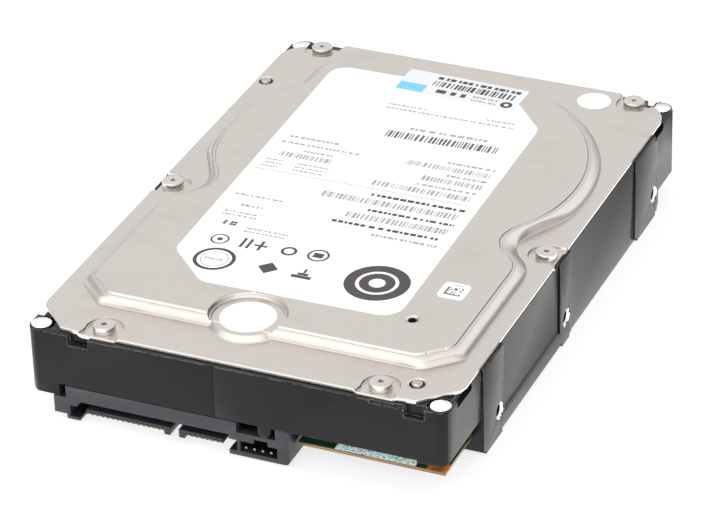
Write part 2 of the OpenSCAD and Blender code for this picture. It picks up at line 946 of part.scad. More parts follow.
module circuit_board() {
    color("#2c5a43") slab(board_z[0], board_z[1]) difference() {
        union() {
            box2d([-43.8, board_bay_y], [43.8, board_back_y]);
            box2d([13.4, from_front(3.6)], [48, from_front(18.4)]);
        }
        at(spindle) circle(motor_well_r + 3.3);
        for (p = board_screw_spots) at(p) circle(1.2);
    }
}

// Connector sizes: the strip above the tongues, the tongues and their end legs
strip_x = [-41.4, 0.3];
strip_z = [5.3, 8.8];
plug_front = front_y + 0.15;
plug_back = -66.8;
block_back = -62.1;
tongue_z = [2.4, 3.6];
power_x = [-36.6, -16.1];
data_x = [-13.9, -3.2];
leg_w = 1.4;
leg_foot = 1.55;           // lower end of the legs that key the tongues
pitch = 1.27;
power_contacts = 15;
data_contacts = 7;
contact_t = 0.3;
contact_w = 0.6;
contact_z = tongue_z[0] - 0.05;
contact_gap = 0.04;        // between a contact or pin and its slot
slot_w = 0.86;             // open front ends of the contact slots
first_power = -35.8;
first_data = -11.4;
jumper_x = [-1.6, 12.9];
jumper_roof = 4.2;
jumper_floor = 1.5;
first_pin = 2.25;
pin_pitch = 2.02;
pin_z = 2.45;
pin_w = 0.5;

function contact_spots() = concat(
    [for (i = [0:power_contacts - 1]) first_power + i * pitch],
    [for (i = [0:data_contacts - 1]) first_data + i * pitch]
);

module tongue(span, leg_x) {
    block([span[0], plug_front + 0.2, tongue_z[0]], [span[1], plug_back + fine, tongue_z[1]]);
    block([leg_x, plug_front + 0.2, leg_foot], [leg_x + leg_w, plug_back + fine, tongue_z[1]]);
}

module connector_block() {
    color("#44474f") difference() {
        union() {
            // rear wall and the roof strip
            block([-44.5, plug_back, 0.35], [jumper_x[1] - 2, block_back, strip_z[1]]);
            block([strip_x[0], plug_front, strip_z[0]], [strip_x[1], plug_back + fine, strip_z[1]]);
            // left ear and stepped guide post
            block([-44.5, plug_front, 1.5], [strip_x[0], plug_back + fine, 5.85]);
            block([strip_x[0] - fine, plug_front, 0.35], [-40.6, plug_back + fine, strip_z[0] + fine]);
            block([strip_x[0] - fine, plug_front, 3.9], [-38.8, plug_back + fine, strip_z[0] + fine]);
            block([strip_x[0] - fine, plug_front, 0.35], [-38.2, plug_back + fine, 1.1]);
            tongue(power_x, power_x[1] - leg_w);
            tongue(data_x, data_x[0]);
            // jumper housing with a rounded lower corner and its right post
            block([jumper_x[0], plug_front, 0.35], [jumper_x[1] - 1.2, block_back, 6.3]);
            block([jumper_x[0] + 8, plug_front, 1.55], [jumper_x[1], block_back, 6.3]);
            translate([jumper_x[1] - 1.2, plug_front, 1.55]) rotate([-90, 0, 0])
                cylinder(r = 1.2, h = block_back - plug_front);
            block([9.6, plug_front, 6.2], [jumper_x[1], block_back, 9.05]);
        }
        // jumper opening, its key notch and the opening beside it
        block([1.1, front_y - 1, jumper_floor], [9.95, plug_back, jumper_roof]);
        block([4.4, front_y - 1, jumper_roof - fine], [7.7, plug_back, 5.3]);
        block([jumper_x[0] - 1, front_y - 1, jumper_floor], [0.3, plug_back + 0.5, jumper_roof]);
        // slots for the contacts and the jumper pins
        for (x = contact_spots()) block(
            [x - contact_w / 2 - contact_gap, front_y - 1, contact_z - 0.5],
            [x + contact_w / 2 + contact_gap, -50, contact_z + contact_t + contact_gap]
        );
        for (x = contact_spots()) block(
            [x - slot_w / 2, front_y - 1, contact_z - 0.5],
            [x + slot_w / 2, plug_front + 1, contact_z + 0.75]
        );
        for (x = pin_spots()) block(
            [x - pin_w / 2 - contact_gap, plug_back - 1, pin_z - pin_w / 2 - contact_gap],
            [x + pin_w / 2 + contact_gap, -50, pin_z + pin_w / 2 + contact_gap]
        );
    }
}

function pin_spots() = [for (i = [0:3]) first_pin + i * pin_pitch];

// Strip of width w that comes out of the connector at y0, rises behind it and lies on the board
module lead(x, w, y0, z0, t, foot_y) {
    bend_y = block_back + 0.1;
    foot_z = board_z[1] + 0.02;
    block([x - w / 2, y0, z0], [x + w / 2, bend_y + 0.2, z0 + t]);
    block([x - w / 2, bend_y, z0], [x + w / 2, bend_y + 0.2, foot_z + 0.2]);
    block([x - w / 2, bend_y, foot_z], [x + w / 2, foot_y, foot_z + 0.2]);
}

module connector_contacts() {
    color("#c9a24a") for (x = contact_spots())
        lead(x, contact_w, plug_front + 0.35, contact_z, contact_t, -60.6);
}

module jumper_pins() {
    color("#c9a24a") for (x = pin_spots())
        lead(x, pin_w, plug_front + 0.45, pin_z - pin_w / 2, pin_w, -60.8);
}

module chip(x, y, w, l, t) {
    block([x - w / 2, y - l / 2, board_z[1]], [x + w / 2, y + l / 2, board_z[1] + t]);
}

module controller_chip() { color("#1f2023") chip(8, -38, 15, 15, 1.5); }

module memory_chip() { color("#1f2023") chip(-15, -40, 12, 9, 1.1); }

module motor_driver_chip() { color("#1f2023") chip(-9, -16, 10, 10, 1.2); }

module board_passives() {
    color("#8a6f4d") {
        for (i = [0:8]) chip(-27 + 6 * i, -51.5, 1.6, 0.9, 0.8);
        for (i = [0:6]) chip(-24 + 5 * i, -28.3, 1.2, 2, 0.9);
        for (i = [0:5]) chip(18 + 3.4 * i, -62.5, 2, 1.2, 0.9);
        for (x = [8, 15], y = [-18, -11]) chip(x, y, 4.2, 4.2, 1.9);
        for (x = [-24, -33]) chip(x, -8, 4.3, 7.3, 2.4);
        chip(30, -40, 5, 3.2, 1.1);
    }
}

module board_screws() {
    color("#9b9da0") for (p = board_screw_spots) at(p) difference() {
        union() {
            slab(board_z[0] - 1.3, board_z[0]) circle(2.2);
            slab(board_z[0] - fine, 8) circle(0.88);
        }
        slab(-1, board_z[0] - 0.6) circle(0.8, $fn = 6);
    }
}

module motor_contacts() {
    color("#c9a24a") {
        chip(1.2, -5.4, 7, 2.4, 1.6);
        for (i = [0:3]) chip(-1 + i * 1.5, -3.6, 0.7, 1.4, 2.6);
    }
}

// ---------- draw ----------

base_casting();
top_cover();
cover_gasket();
cover_screws();
locating_pins();
main_label();
asset_label();
front_round_seal();
rear_round_seal();
code_sticker();
breather_filter();
recirculation_filter();
desiccant_pack();
motor_base();
bearing_sleeve();
stator_core();
stator_coils();
spindle_shaft();
rotor_hub();
rotor_magnet();
lower_platter();
disk_spacer();
upper_platter();
disk_clamp();
clamp_screws();
arm_block();
arm_flex();
preamp_chip();
coil_frame();
voice_coil();
head_suspensions();
head_sliders();
pivot_sleeve();
pivot_outer_rings();
pivot_balls();
pivot_inner_rings();
pivot_shaft();
pivot_screw();
lower_yoke();
upper_yoke();
drive_magnets();
yoke_posts();
yoke_screws();
crash_stops();
latch_lever();
latch_pin();
load_ramp();
ramp_screw();
flex_loop();
head_connector();
circuit_board();
connector_block();
connector_contacts();
jumper_pins();
controller_chip();
memory_chip();
motor_driver_chip();
board_passives();
board_screws();
motor_contacts();
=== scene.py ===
import math
import random

import bpy
import numpy as np
from mathutils import Matrix, Vector
from mathutils.geometry import delaunay_2d_cdt
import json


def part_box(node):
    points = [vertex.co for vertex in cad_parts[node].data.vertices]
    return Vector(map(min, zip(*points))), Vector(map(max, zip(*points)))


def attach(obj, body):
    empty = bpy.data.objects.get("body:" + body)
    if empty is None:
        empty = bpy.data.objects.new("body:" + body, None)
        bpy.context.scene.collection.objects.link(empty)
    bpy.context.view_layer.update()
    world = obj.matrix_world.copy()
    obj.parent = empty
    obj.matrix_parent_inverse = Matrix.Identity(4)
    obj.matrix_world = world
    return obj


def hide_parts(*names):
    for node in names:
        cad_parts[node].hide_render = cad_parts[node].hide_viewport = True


# The looks of a desktop hard disk drive: the stamped cover, the printed labels, the screws and
# every material. Lengths below are in millimetres, in the frame of the CAD model, and become
# metres when a mesh is made. Sizes inside the materials are in metres.

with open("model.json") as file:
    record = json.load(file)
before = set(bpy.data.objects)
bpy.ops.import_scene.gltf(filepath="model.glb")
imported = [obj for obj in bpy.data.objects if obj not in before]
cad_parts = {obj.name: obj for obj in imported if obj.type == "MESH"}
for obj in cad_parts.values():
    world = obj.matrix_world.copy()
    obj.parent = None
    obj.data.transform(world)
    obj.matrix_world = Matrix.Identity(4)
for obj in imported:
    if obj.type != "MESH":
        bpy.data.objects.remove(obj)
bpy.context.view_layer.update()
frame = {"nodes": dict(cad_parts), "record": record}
MM = 0.001
BODY = "enclosure"


def node_box(name):
    """Lowest and highest corner of a CAD node, in millimetres."""
    low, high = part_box(name)
    return np.array(low) / MM, np.array(high) / MM


# ------------------------------------------------------------ places taken from the frame

COVER_LOW, COVER_HIGH = node_box("top_cover")
LABEL_LOW, LABEL_HIGH = node_box("main_label")
PLATEAU_Z = LABEL_LOW[2]
SEAL_LOW, SEAL_HIGH = node_box("front_round_seal")
PAD = (SEAL_LOW[:2] + SEAL_HIGH[:2]) / 2
PAD_Z = SEAL_LOW[2]
FLANGE_Z = node_box("rear_round_seal")[0][2]
DISK_LOW, DISK_HIGH = node_box("upper_platter")
SPINDLE = (DISK_LOW[:2] + DISK_HIGH[:2]) / 2
BREATHER_LOW, BREATHER_HIGH = node_box("breather_filter")
BREATHER = (BREATHER_LOW[:2] + BREATHER_HIGH[:2]) / 2
CASTING_LOW, CASTING_HIGH = node_box("base_casting")
PLUG_LOW, _ = node_box("connector_block")
SHEET = 0.5                # thickness of the cover
LAND_DEPTH = 0.7           # recesses round the cover screws
LAND_R = 4.2
FRONT_SCREW = np.array([33.0, -68.7])
MIDDLE_SCREW = np.array([46.8, -5.4])
REAR_SCREW = np.array([41.2, 68.9])
PIN_LOW, PIN_HIGH = node_box("locating_pins")
PIN_R = 1.3
PIN_GAP = 0.45             # between a locating pin and its hole
PINS = [np.array([PIN_LOW[0] + PIN_R, PIN_HIGH[1] - PIN_R]),
        np.array([PIN_HIGH[0] - PIN_R, PIN_LOW[1] + PIN_R])]
SIDE_HOLE_YS = [CASTING_LOW[1] + d for d in (28.5, 70.1, 130.1)]
SIDE_HOLE_Z = 6.35
SCREWS = [s * p for p in (FRONT_SCREW, MIDDLE_SCREW, REAR_SCREW)
          for s in (np.array([1, 1]), np.array([-1, 1]))]

# ------------------------------------------------------------ plane curves


def arc(centre, r, a0, a1, step=4.0):
    """Points along a circle from angle a0 to a1, in degrees."""
    n = max(2, int(abs(a1 - a0) / step) + 1)
    a = np.radians(np.linspace(a0, a1, n))
    return np.stack([centre[0] + r * np.cos(a), centre[1] + r * np.sin(a)], 1)


def filleted(corners, step=9.0):
    """Closed polygon through corners (x, y, radius), each rounded to its radius."""
    out = []
    count = len(corners)
    for i, (x, y, r) in enumerate(corners):
        p = np.array([x, y], float)
        before = np.array(corners[i - 1][:2], float) - p
        after = np.array(corners[(i + 1) % count][:2], float) - p
        before /= np.linalg.norm(before)
        after /= np.linalg.norm(after)
        turn = math.acos(float(np.clip(before @ after, -1, 1)))
        if r <= 0 or turn > math.pi - 0.01:
            out.append(p[None])
            continue
        reach = r / math.tan(turn / 2)
        centre = p + (before + after) / np.linalg.norm(before + after) * r / math.sin(turn / 2)
        start, end = p + before * reach - centre, p + after * reach - centre
        a0 = math.degrees(math.atan2(start[1], start[0]))
        a1 = math.degrees(math.atan2(end[1], end[0]))
        a1 += 360 * round((a0 - a1) / 360)
        out.append(arc(centre, r, a0, a1, step))
    return np.concatenate(out)


def circle(centre, r, n=48):
    return arc(centre, r, 0, 360 * (1 - 1 / n), 360 / n * 0.999)


def resampled(points, step):
    """Closed curve with points every step along it."""
    loop = np.concatenate([points, points[:1]])
    run = np.concatenate([[0], np.cumsum(np.linalg.norm(np.diff(loop, axis=0), axis=1))])
    n = int(run[-1] / step)
    at = np.linspace(0, run[-1], n, endpoint=False)
    return np.stack([np.interp(at, run, loop[:, k]) for k in (0, 1)], 1)


def softened(points, passes):
    """Closed curve with its kinks smoothed away."""
    for _ in range(passes):
        points = (np.roll(points, 1, 0) + 2 * points + np.roll(points, -1, 0)) / 4
    return points


def offset(points, d):
    """Closed anticlockwise curve moved outwards by d."""
    tangent = np.roll(points, -1, 0) - np.roll(points, 1, 0)
    tangent /= np.linalg.norm(tangent, axis=1)[:, None]
    return points + d * np.stack([tangent[:, 1], -tangent[:, 0]], 1)


def inside(points, polygon):
    """Which points lie inside a closed polygon."""
    x, y = points[:, 0][:, None], points[:, 1][:, None]
    ax, ay = polygon[:, 0], polygon[:, 1]
    bx, by = np.roll(ax, -1), np.roll(ay, -1)
    crosses = (ay > y) != (by > y)
    reach = ax + (y - ay) * (bx - ax) / np.where(by == ay, 1e-12, by - ay)
    return (crosses & (x < reach)).sum(1) % 2 == 1


def signed_distance(points, polygon):
    """Distance to a closed polygon, negative inside."""
    a = polygon
    edge = np.roll(a, -1, 0) - a
    length2 = (edge ** 2).sum(1)
    best = np.full(len(points), np.inf)
    for chunk in range(0, len(points), 4000):
        p = points[chunk:chunk + 4000]
        rel = p[:, None] - a[None]
        t = np.clip((rel * edge).sum(2) / length2, 0, 1)
        best[chunk:chunk + 4000] = np.sqrt(((rel - t[..., None] * edge) ** 2).sum(2).min(1))
    return np.where(inside(points, polygon), -best, best)


def smooth(t):
    t = np.clip(t, 0, 1)
    return t * t * (3 - 2 * t)


def contour(points, d):
    """Curve moved outwards by d, without the loops that tight corners would tie in it."""
    moved = offset(points, d)
    return moved[np.abs(signed_distance(moved, points)) > abs(d) * 0.97]


# ------------------------------------------------------------ meshes


def new_object(name, verts, faces, body=BODY):
    """Object from vertices in millimetres, riding on a body."""
    mesh = bpy.data.meshes.new(name)
    mesh.from_pydata([tuple(c * MM for c in v) for v in verts], [], faces)
    mesh.update()
    obj = bpy.data.objects.new(name, mesh)
    bpy.context.scene.collection.objects.link(obj)
    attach(obj, body)
    return obj


def triangulated(loops, outer, holes=()):
    """Flat triangles over the area inside outer and outside the holes, with edges along every loop."""
    points, edges = [], []
    for loop in [outer, *holes, *loops]:
        first = len(points)
        points += [Vector(p) for p in loop]
        edges += [(first + i, first + (i + 1) % len(loop)) for i in range(len(loop))]
    flat, _, faces, *_ = delaunay_2d_cdt(points, edges, [], 0, 1e-4)
    flat = np.array([tuple(v) for v in flat])
    faces = np.array([f for f in faces if len(f) == 3])
    centres = flat[faces].mean(1)
    keep = inside(centres, outer)
    for hole in holes:
        keep &= ~inside(centres, hole)
    faces = faces[keep]
    used, index = np.unique(faces, return_inverse=True)
    return flat[used], index.reshape(-1, 3)


def boundary_edges(faces):
    """Directed edges that belong to one triangle only."""
    edges = np.concatenate([faces[:, [0, 1]], faces[:, [1, 2]], faces[:, [2, 0]]])
    known = {tuple(e) for e in edges}
    return [tuple(e) for e in edges if (e[1], e[0]) not in known]


def sheet_object(name, flat, faces, top_z, bottom_z, slopes=None):
    """Closed sheet between two height lists over the same flat triangles, with exact normals."""
    a, b, c = (flat[faces[:, k]] for k in range(3))
    turn = (b - a)[:, 0] * (c - a)[:, 1] - (b - a)[:, 1] * (c - a)[:, 0]
    faces = np.where((turn < 0)[:, None], faces[:, ::-1], faces)
    n = len(flat)
    rim = boundary_edges(faces)
    verts = [(*p, z) for p, z in zip(flat, top_z)] + [(*p, z) for p, z in zip(flat, bottom_z)]
    sides = [(int(j), int(i), int(i) + n, int(j) + n) for i, j in rim]
    polygons = [tuple(map(int, f)) for f in faces]
    polygons += [tuple(int(v) + n for v in f[::-1]) for f in faces]
    obj = new_object(name, verts, polygons + sides)
    if slopes is None:
        slopes = np.zeros((n, 2))
    up = np.concatenate([-slopes, np.ones((n, 1))], 1)
    up /= np.linalg.norm(up, axis=1)[:, None]
    normals = [up[v] for f in faces for v in f]
    normals += [-up[v] for f in faces for v in f[::-1]]
    for i, j in rim:
        along = flat[j] - flat[i]
        out = np.array([along[1], -along[0], 0]) / max(np.linalg.norm(along), 1e-9)
        normals += [out] * 4
    obj.data.polygons.foreach_set("use_smooth", [True] * len(obj.data.polygons))
    obj.data.normals_split_custom_set([tuple(v) for v in normals])
    return obj


def lathe(profile, centre, segments=40):
    """Closed round solid from a profile of (radius, z) that starts and ends on the axis."""
    verts, rings = [], []
    for r, z in profile:
        if r < 1e-6:
            rings.append([len(verts)])
            verts.append((centre[0], centre[1], z))
            continue
        ring = []
        for k in range(segments):
            a = 2 * math.pi * k / segments
            ring.append(len(verts))
            verts.append((centre[0] + r * math.cos(a), centre[1] + r * math.sin(a), z))
        rings.append(ring)
    faces = []
    for low, high in zip(rings, rings[1:]):
        for k in range(segments):
            j = (k + 1) % segments
            quad = [low[k % len(low)], low[j % len(low)], high[j % len(high)], high[k % len(high)]]
            face = list(dict.fromkeys(quad))
            if len(face) > 2:
                faces.append(face)
    return verts, faces


# ------------------------------------------------------------ material helpers


class Paint:
    """A node material, with short calls for the nodes this script uses."""

    def __init__(self, name, colour, rough, metal=0.0, coat=0.0, specular=0.5):
        self.name = name      # Blender may number its own name, as the frame has the same ones
        self.material = bpy.data.materials.new(name)
        self.material.use_nodes = True
        self.tree = self.material.node_tree
        self.shader = self.tree.nodes["Principled BSDF"]
        self.place = self.node("ShaderNodeTexCoord").outputs["Object"]
        self.shader.inputs["Base Color"].default_value = (*colour, 1)
        self.shader.inputs["Roughness"].default_value = rough
        self.shader.inputs["Metallic"].default_value = metal
        self.shader.inputs["Coat Weight"].default_value = coat
        self.shader.inputs["Specular IOR Level"].default_value = specular
        self.colour, self.rough = colour, rough
        self.material.diffuse_color = (*colour, 1)

    def node(self, kind, **settings):
        n = self.tree.nodes.new(kind)
        for key, value in settings.items():
            setattr(n, key, value)
        return n

    def link(self, a, b):
        self.tree.links.new(a, b)

    def math(self, how, a, b=0.0):
        n = self.node("ShaderNodeMath", operation=how)
        for k, v in enumerate((a, b)):
            if isinstance(v, (int, float)):
                n.inputs[k].default_value = v
            else:
                self.link(v, n.inputs[k])
        return n.outputs[0]

    def both(self, *masks):
        """Product of masks and factors."""
        out = masks[0]
        for mask in masks[1:]:
            out = self.math("MULTIPLY", out, mask)
        return out

    def stretched(self, scale):
        n = self.node("ShaderNodeMapping")
        n.inputs["Scale"].default_value = scale
        self.link(self.place, n.inputs["Vector"])
        return n.outputs[0]

    def noise(self, scale, detail=3.0, stretch=None, rough=0.55):
        n = self.node("ShaderNodeTexNoise")
        n.inputs["Scale"].default_value = scale
        n.inputs["Detail"].default_value = detail
        n.inputs["Roughness"].default_value = rough
        self.link(self.stretched(stretch) if stretch else self.place, n.inputs["Vector"])
        return n.outputs["Fac"]

    def cells(self, scale, stretch=None):
        n = self.node("ShaderNodeTexVoronoi")
        n.inputs["Scale"].default_value = scale
        self.link(self.stretched(stretch) if stretch else self.place, n.inputs["Vector"])
        return n.outputs["Distance"]

    def ranged(self, value, low, high, to_low=0.0, to_high=1.0):
        n = self.node("ShaderNodeMapRange")
        for key, v in (("From Min", low), ("From Max", high), ("To Min", to_low), ("To Max", to_high)):
            n.inputs[key].default_value = v
        self.link(value, n.inputs["Value"])
        return n.outputs["Result"]

    def mixed(self, factor, a, b):
        n = self.node("ShaderNodeMix", data_type="RGBA")
        for key, v in (("A", a), ("B", b)):
            socket = [s for s in n.inputs if s.name == key and s.type == "RGBA"][0]
            if isinstance(v, (tuple, list)):
                socket.default_value = (*v[:3], 1)
            else:
                self.link(v, socket)
        self.link(factor, n.inputs[0])
        return [s for s in n.outputs if s.type == "RGBA"][0]

    def set_colour(self, value):
        self.link(value, self.shader.inputs["Base Color"])
        return self

    def set_rough(self, value):
        self.link(value, self.shader.inputs["Roughness"])
        return self

    def bump(self, height, strength, distance):
        n = self.node("ShaderNodeBump")
        n.inputs["Strength"].default_value = strength
        n.inputs["Distance"].default_value = distance
        self.link(height, n.inputs["Height"])
        old = self.shader.inputs["Normal"]
        if old.is_linked:
            self.link(old.links[0].from_socket, n.inputs["Normal"])
        self.link(n.outputs["Normal"], old)
        return self

    def facing(self, which):
        """One part of the surface's direction."""
        g = self.node("ShaderNodeNewGeometry")
        n = self.node("ShaderNodeSeparateXYZ")
        self.link(g.outputs["Normal"], n.inputs[0])
        return n.outputs[which]

    def axis(self, which):
        n = self.node("ShaderNodeSeparateXYZ")
        self.link(self.place, n.inputs[0])
        return n.outputs[which]

    def within(self, which, low, high):
        """1 where a coordinate lies between two values in millimetres."""
        over = self.math("GREATER_THAN", self.axis(which), low * MM)
        return self.both(over, self.math("LESS_THAN", self.axis(which), high * MM))

    def edges(self, radius):
        """1 on the outer edges of the mesh, 0 on its faces."""
        bevel = self.node("ShaderNodeBevel", samples=4)
        bevel.inputs["Radius"].default_value = radius * MM
        g = self.node("ShaderNodeNewGeometry")
        n = self.node("ShaderNodeVectorMath", operation="DOT_PRODUCT")
        self.link(bevel.outputs["Normal"], n.inputs[0])
        self.link(g.outputs["Normal"], n.inputs[1])
        return self.ranged(n.outputs["Value"], 0.90, 0.98, 1.0, 0.0)


def shade(colour, k):
    return tuple(min(1.0, c * k) for c in colour)


def grained(name, colour, rough, metal=0.0, coat=0.0, grain=2500, depth=0.00002, vary=0.12, **more):
    """Moulded, painted or cast surface: uneven colour, uneven gloss and a fine grain."""
    p = Paint(name, colour, rough, metal, coat, **more)
    broad = p.noise(90, 4)
    fine = p.noise(grain, 2)
    p.set_colour(p.mixed(p.ranged(broad, 0.3, 0.7), shade(colour, 1 - vary), shade(colour, 1 + vary)))
    p.set_rough(p.ranged(p.noise(260, 5), 0.3, 0.7, rough - 0.06, rough + 0.08))
    p.bump(fine, 0.5, depth)
    return p


def brushed(name, colour, rough, stretch, depth=0.000008, vary=0.05, scale=900):
    """Metal with a drawn or turned grain."""
    p = Paint(name, colour, rough, 1.0)
    lines = p.noise(scale, 3, stretch)
    broad = p.ranged(p.noise(60, 4), 0.3, 0.7)
    p.set_colour(p.mixed(broad, shade(colour, 1 - vary), shade(colour, 1 + vary)))
    p.set_rough(p.ranged(lines, 0.3, 0.7, rough - 0.05, rough + 0.07))
    p.bump(lines, 0.4, depth)
    return p


# ------------------------------------------------------------ materials


def cover_material():
    colour = (0.632, 0.588, 0.556)
    p = Paint("cover_steel", colour, 0.3, 1.0)
    lines = p.noise(420, 4, (1, 22, 1))
    peel = p.noise(1400, 3)
    marks = p.ranged(p.noise(55, 5, (1, 1.6, 1), 0.7), 0.52, 0.75)
    sheet = p.mixed(marks, shade(colour, 1.03), shade(colour, 0.94))
    up = p.facing("Z")
    ahead = p.facing("Y")
    # painted shade darkens the drawn slopes that face left and to the rear, and a painted highlight
    # brightens those that face right
    gentle = p.math("GREATER_THAN", up, 0.70)
    shaded_slope = p.math("MAXIMUM", p.ranged(p.facing("X"), -0.08, -0.40), p.ranged(ahead, 0.08, 0.40))
    sheet = p.mixed(p.both(gentle, shaded_slope, 0.5), sheet, shade(colour, 0.50))
    highlit_slope = p.both(p.ranged(p.facing("X"), 0.12, 0.45), p.ranged(ahead, 0.30, 0.05))
    sheet = p.mixed(p.both(gentle, highlit_slope, 0.7), sheet, shade(colour, 1.45))
    # steep walls get painted shade, except those that face the front and, less so, the foot of the band
    steep = p.ranged(up, 0.72, 0.58)
    away = p.ranged(ahead, -0.55, -0.15)
    foot = p.within("Z", FLANGE_Z - 0.03, FLANGE_Z + 0.5)
    cut_edge_highlight = p.math("LESS_THAN", p.math("ABSOLUTE", up), 0.08)
    painted_wall_shade = p.both(steep, away, p.math("GREATER_THAN", up, 0.08), p.ranged(foot, 0, 1, 0.85, 0.25))
    sheet = p.mixed(painted_wall_shade, sheet, shade(colour, 0.22))
    # the upright cut edge of the sheet gets a painted highlight, near white
    p.set_colour(p.mixed(cut_edge_highlight, sheet, (0.95, 0.94, 0.92)))
    tone = p.math("ADD", p.both(lines, 0.14), p.both(peel, 0.10))
    p.set_rough(p.math("ADD", tone, 0.18))
    p.bump(peel, 0.35, 0.00002)
    p.bump(lines, 0.3, 0.00001)
    return p


def casting_material():
    black = (0.0105, 0.0100, 0.0098)
    panel_x = 50.3          # side panels lie inside it
    boss_x = 50.2           # side bosses lie outside it
    ledge_z = (3.5, 4.5)
    gap_z = FLANGE_Z - SHEET - 0.75
    post_z = CASTING_HIGH[2] - 0.06
    seam_x = (-5.4, -4.0)
    p = Paint("black_casting", black, 0.3, specular=0.30)
    grain = p.noise(1500, 3)
    far_x = p.math("ABSOLUTE", p.axis("X"))
    sideways = p.math("GREATER_THAN", p.math("ABSOLUTE", p.facing("X")), 0.5)
    upwards = p.math("GREATER_THAN", p.facing("Z"), 0.5)
    # paint that varies at random; painted reflection makes the side panels greyer, a painted highlight
    # greys the ledge under the front one, and painted shade makes the front blacker
    base = p.mixed(p.ranged(p.noise(70, 5), 0.3, 0.7), shade(black, 0.85), shade(black, 1.2))
    base = p.mixed(p.both(sideways, p.math("LESS_THAN", far_x, panel_x * MM)), base, shade(black, 3.5))
    base = p.mixed(p.math("LESS_THAN", p.facing("Y"), -0.5), base, shade(black, 0.1))
    ledge_highlight = p.both(p.within("Z", *ledge_z), upwards, p.math("GREATER_THAN", far_x, 0.0499))
    base = p.mixed(ledge_highlight, base, shade(black, 17))
    # specks, and paint worn off the edges, most of all along the top; the pale worn edges double as painted
    # edge highlights
    specks = p.both(p.ranged(p.cells(520), 0.02, 0.05, 1.0, 0.0), p.ranged(p.noise(160, 2), 0.60, 0.66))
    wear_and_edge_highlight = p.both(p.edges(0.2), p.ranged(p.noise(520, 5, rough=0.75), 0.42, 0.52),
                  p.ranged(p.axis("Z"), 0.0190, 0.0196, 0.30, 1.0))
    wear_and_edge_highlight = p.math("SUBTRACT", wear_and_edge_highlight, p.within("X", *seam_x))
    painted = p.mixed(p.math("MAXIMUM", specks, wear_and_edge_highlight), base, (0.30, 0.295, 0.29))
    # a thin shadow gap runs under the cover's edge
    gap = p.both(sideways, p.math("GREATER_THAN", p.axis("Z"), gap_z * MM))
    painted = p.mixed(gap, painted, (0.001, 0.001, 0.001))
    p.link(p.ranged(gap, 0, 1, 0.28, 0.0), p.shader.inputs["Specular IOR Level"])
    # the tops of the corner posts and ragged rims round the threaded side holes are bare
    bare = p.both(p.math("GREATER_THAN", p.axis("Z"), post_z * MM), upwards)
    nearest = None
    for y in SIDE_HOLE_YS:
        dy = p.math("SUBTRACT", p.axis("Y"), y * MM)
        dz = p.math("SUBTRACT", p.axis("Z"), SIDE_HOLE_Z * MM)
        away = p.math("SQRT", p.math("ADD", p.both(dy, dy), p.both(dz, dz)))
        nearest = away if nearest is None else p.math("MINIMUM", nearest, away)
    ragged = p.both(p.math("SUBTRACT", p.noise(700, 3), 0.5), 0.0022)
    rim = p.math("LESS_THAN", p.math("ADD", nearest, ragged), 0.00195)
    bare = p.math("MAXIMUM", bare, p.both(rim, p.math("GREATER_THAN", far_x, boss_x * MM)))
    p.set_colour(p.mixed(bare, painted, (0.98, 0.98, 0.98)))
    p.link(p.both(bare, 0.9), p.shader.inputs["Metallic"])
    p.set_rough(p.ranged(p.noise(300, 5), 0.3, 0.7, 0.29, 0.35))
    p.bump(grain, 0.35, 0.00002)
    return p


def label_material(name, colour):
    p = Paint(name, colour, 0.62)
    fibre = p.noise(1800, 4)
    p.set_colour(p.mixed(p.noise(45, 4), shade(colour, 0.985), shade(colour, 1.0)))
    p.set_rough(p.ranged(fibre, 0.3, 0.7, 0.50, 0.66))
    p.bump(fibre, 0.25, 0.000006)
    return p


def ink_material(name, colour):
    p = Paint(name, colour, 0.5)
    fibre = p.noise(2600, 3)
    p.set_colour(p.mixed(p.ranged(fibre, 0.35, 0.75), shade(colour, 0.9), shade(colour, 1.35)))
    p.set_rough(p.ranged(fibre, 0.3, 0.7, 0.42, 0.60))
    p.bump(fibre, 0.2, 0.000005)
    return p.material


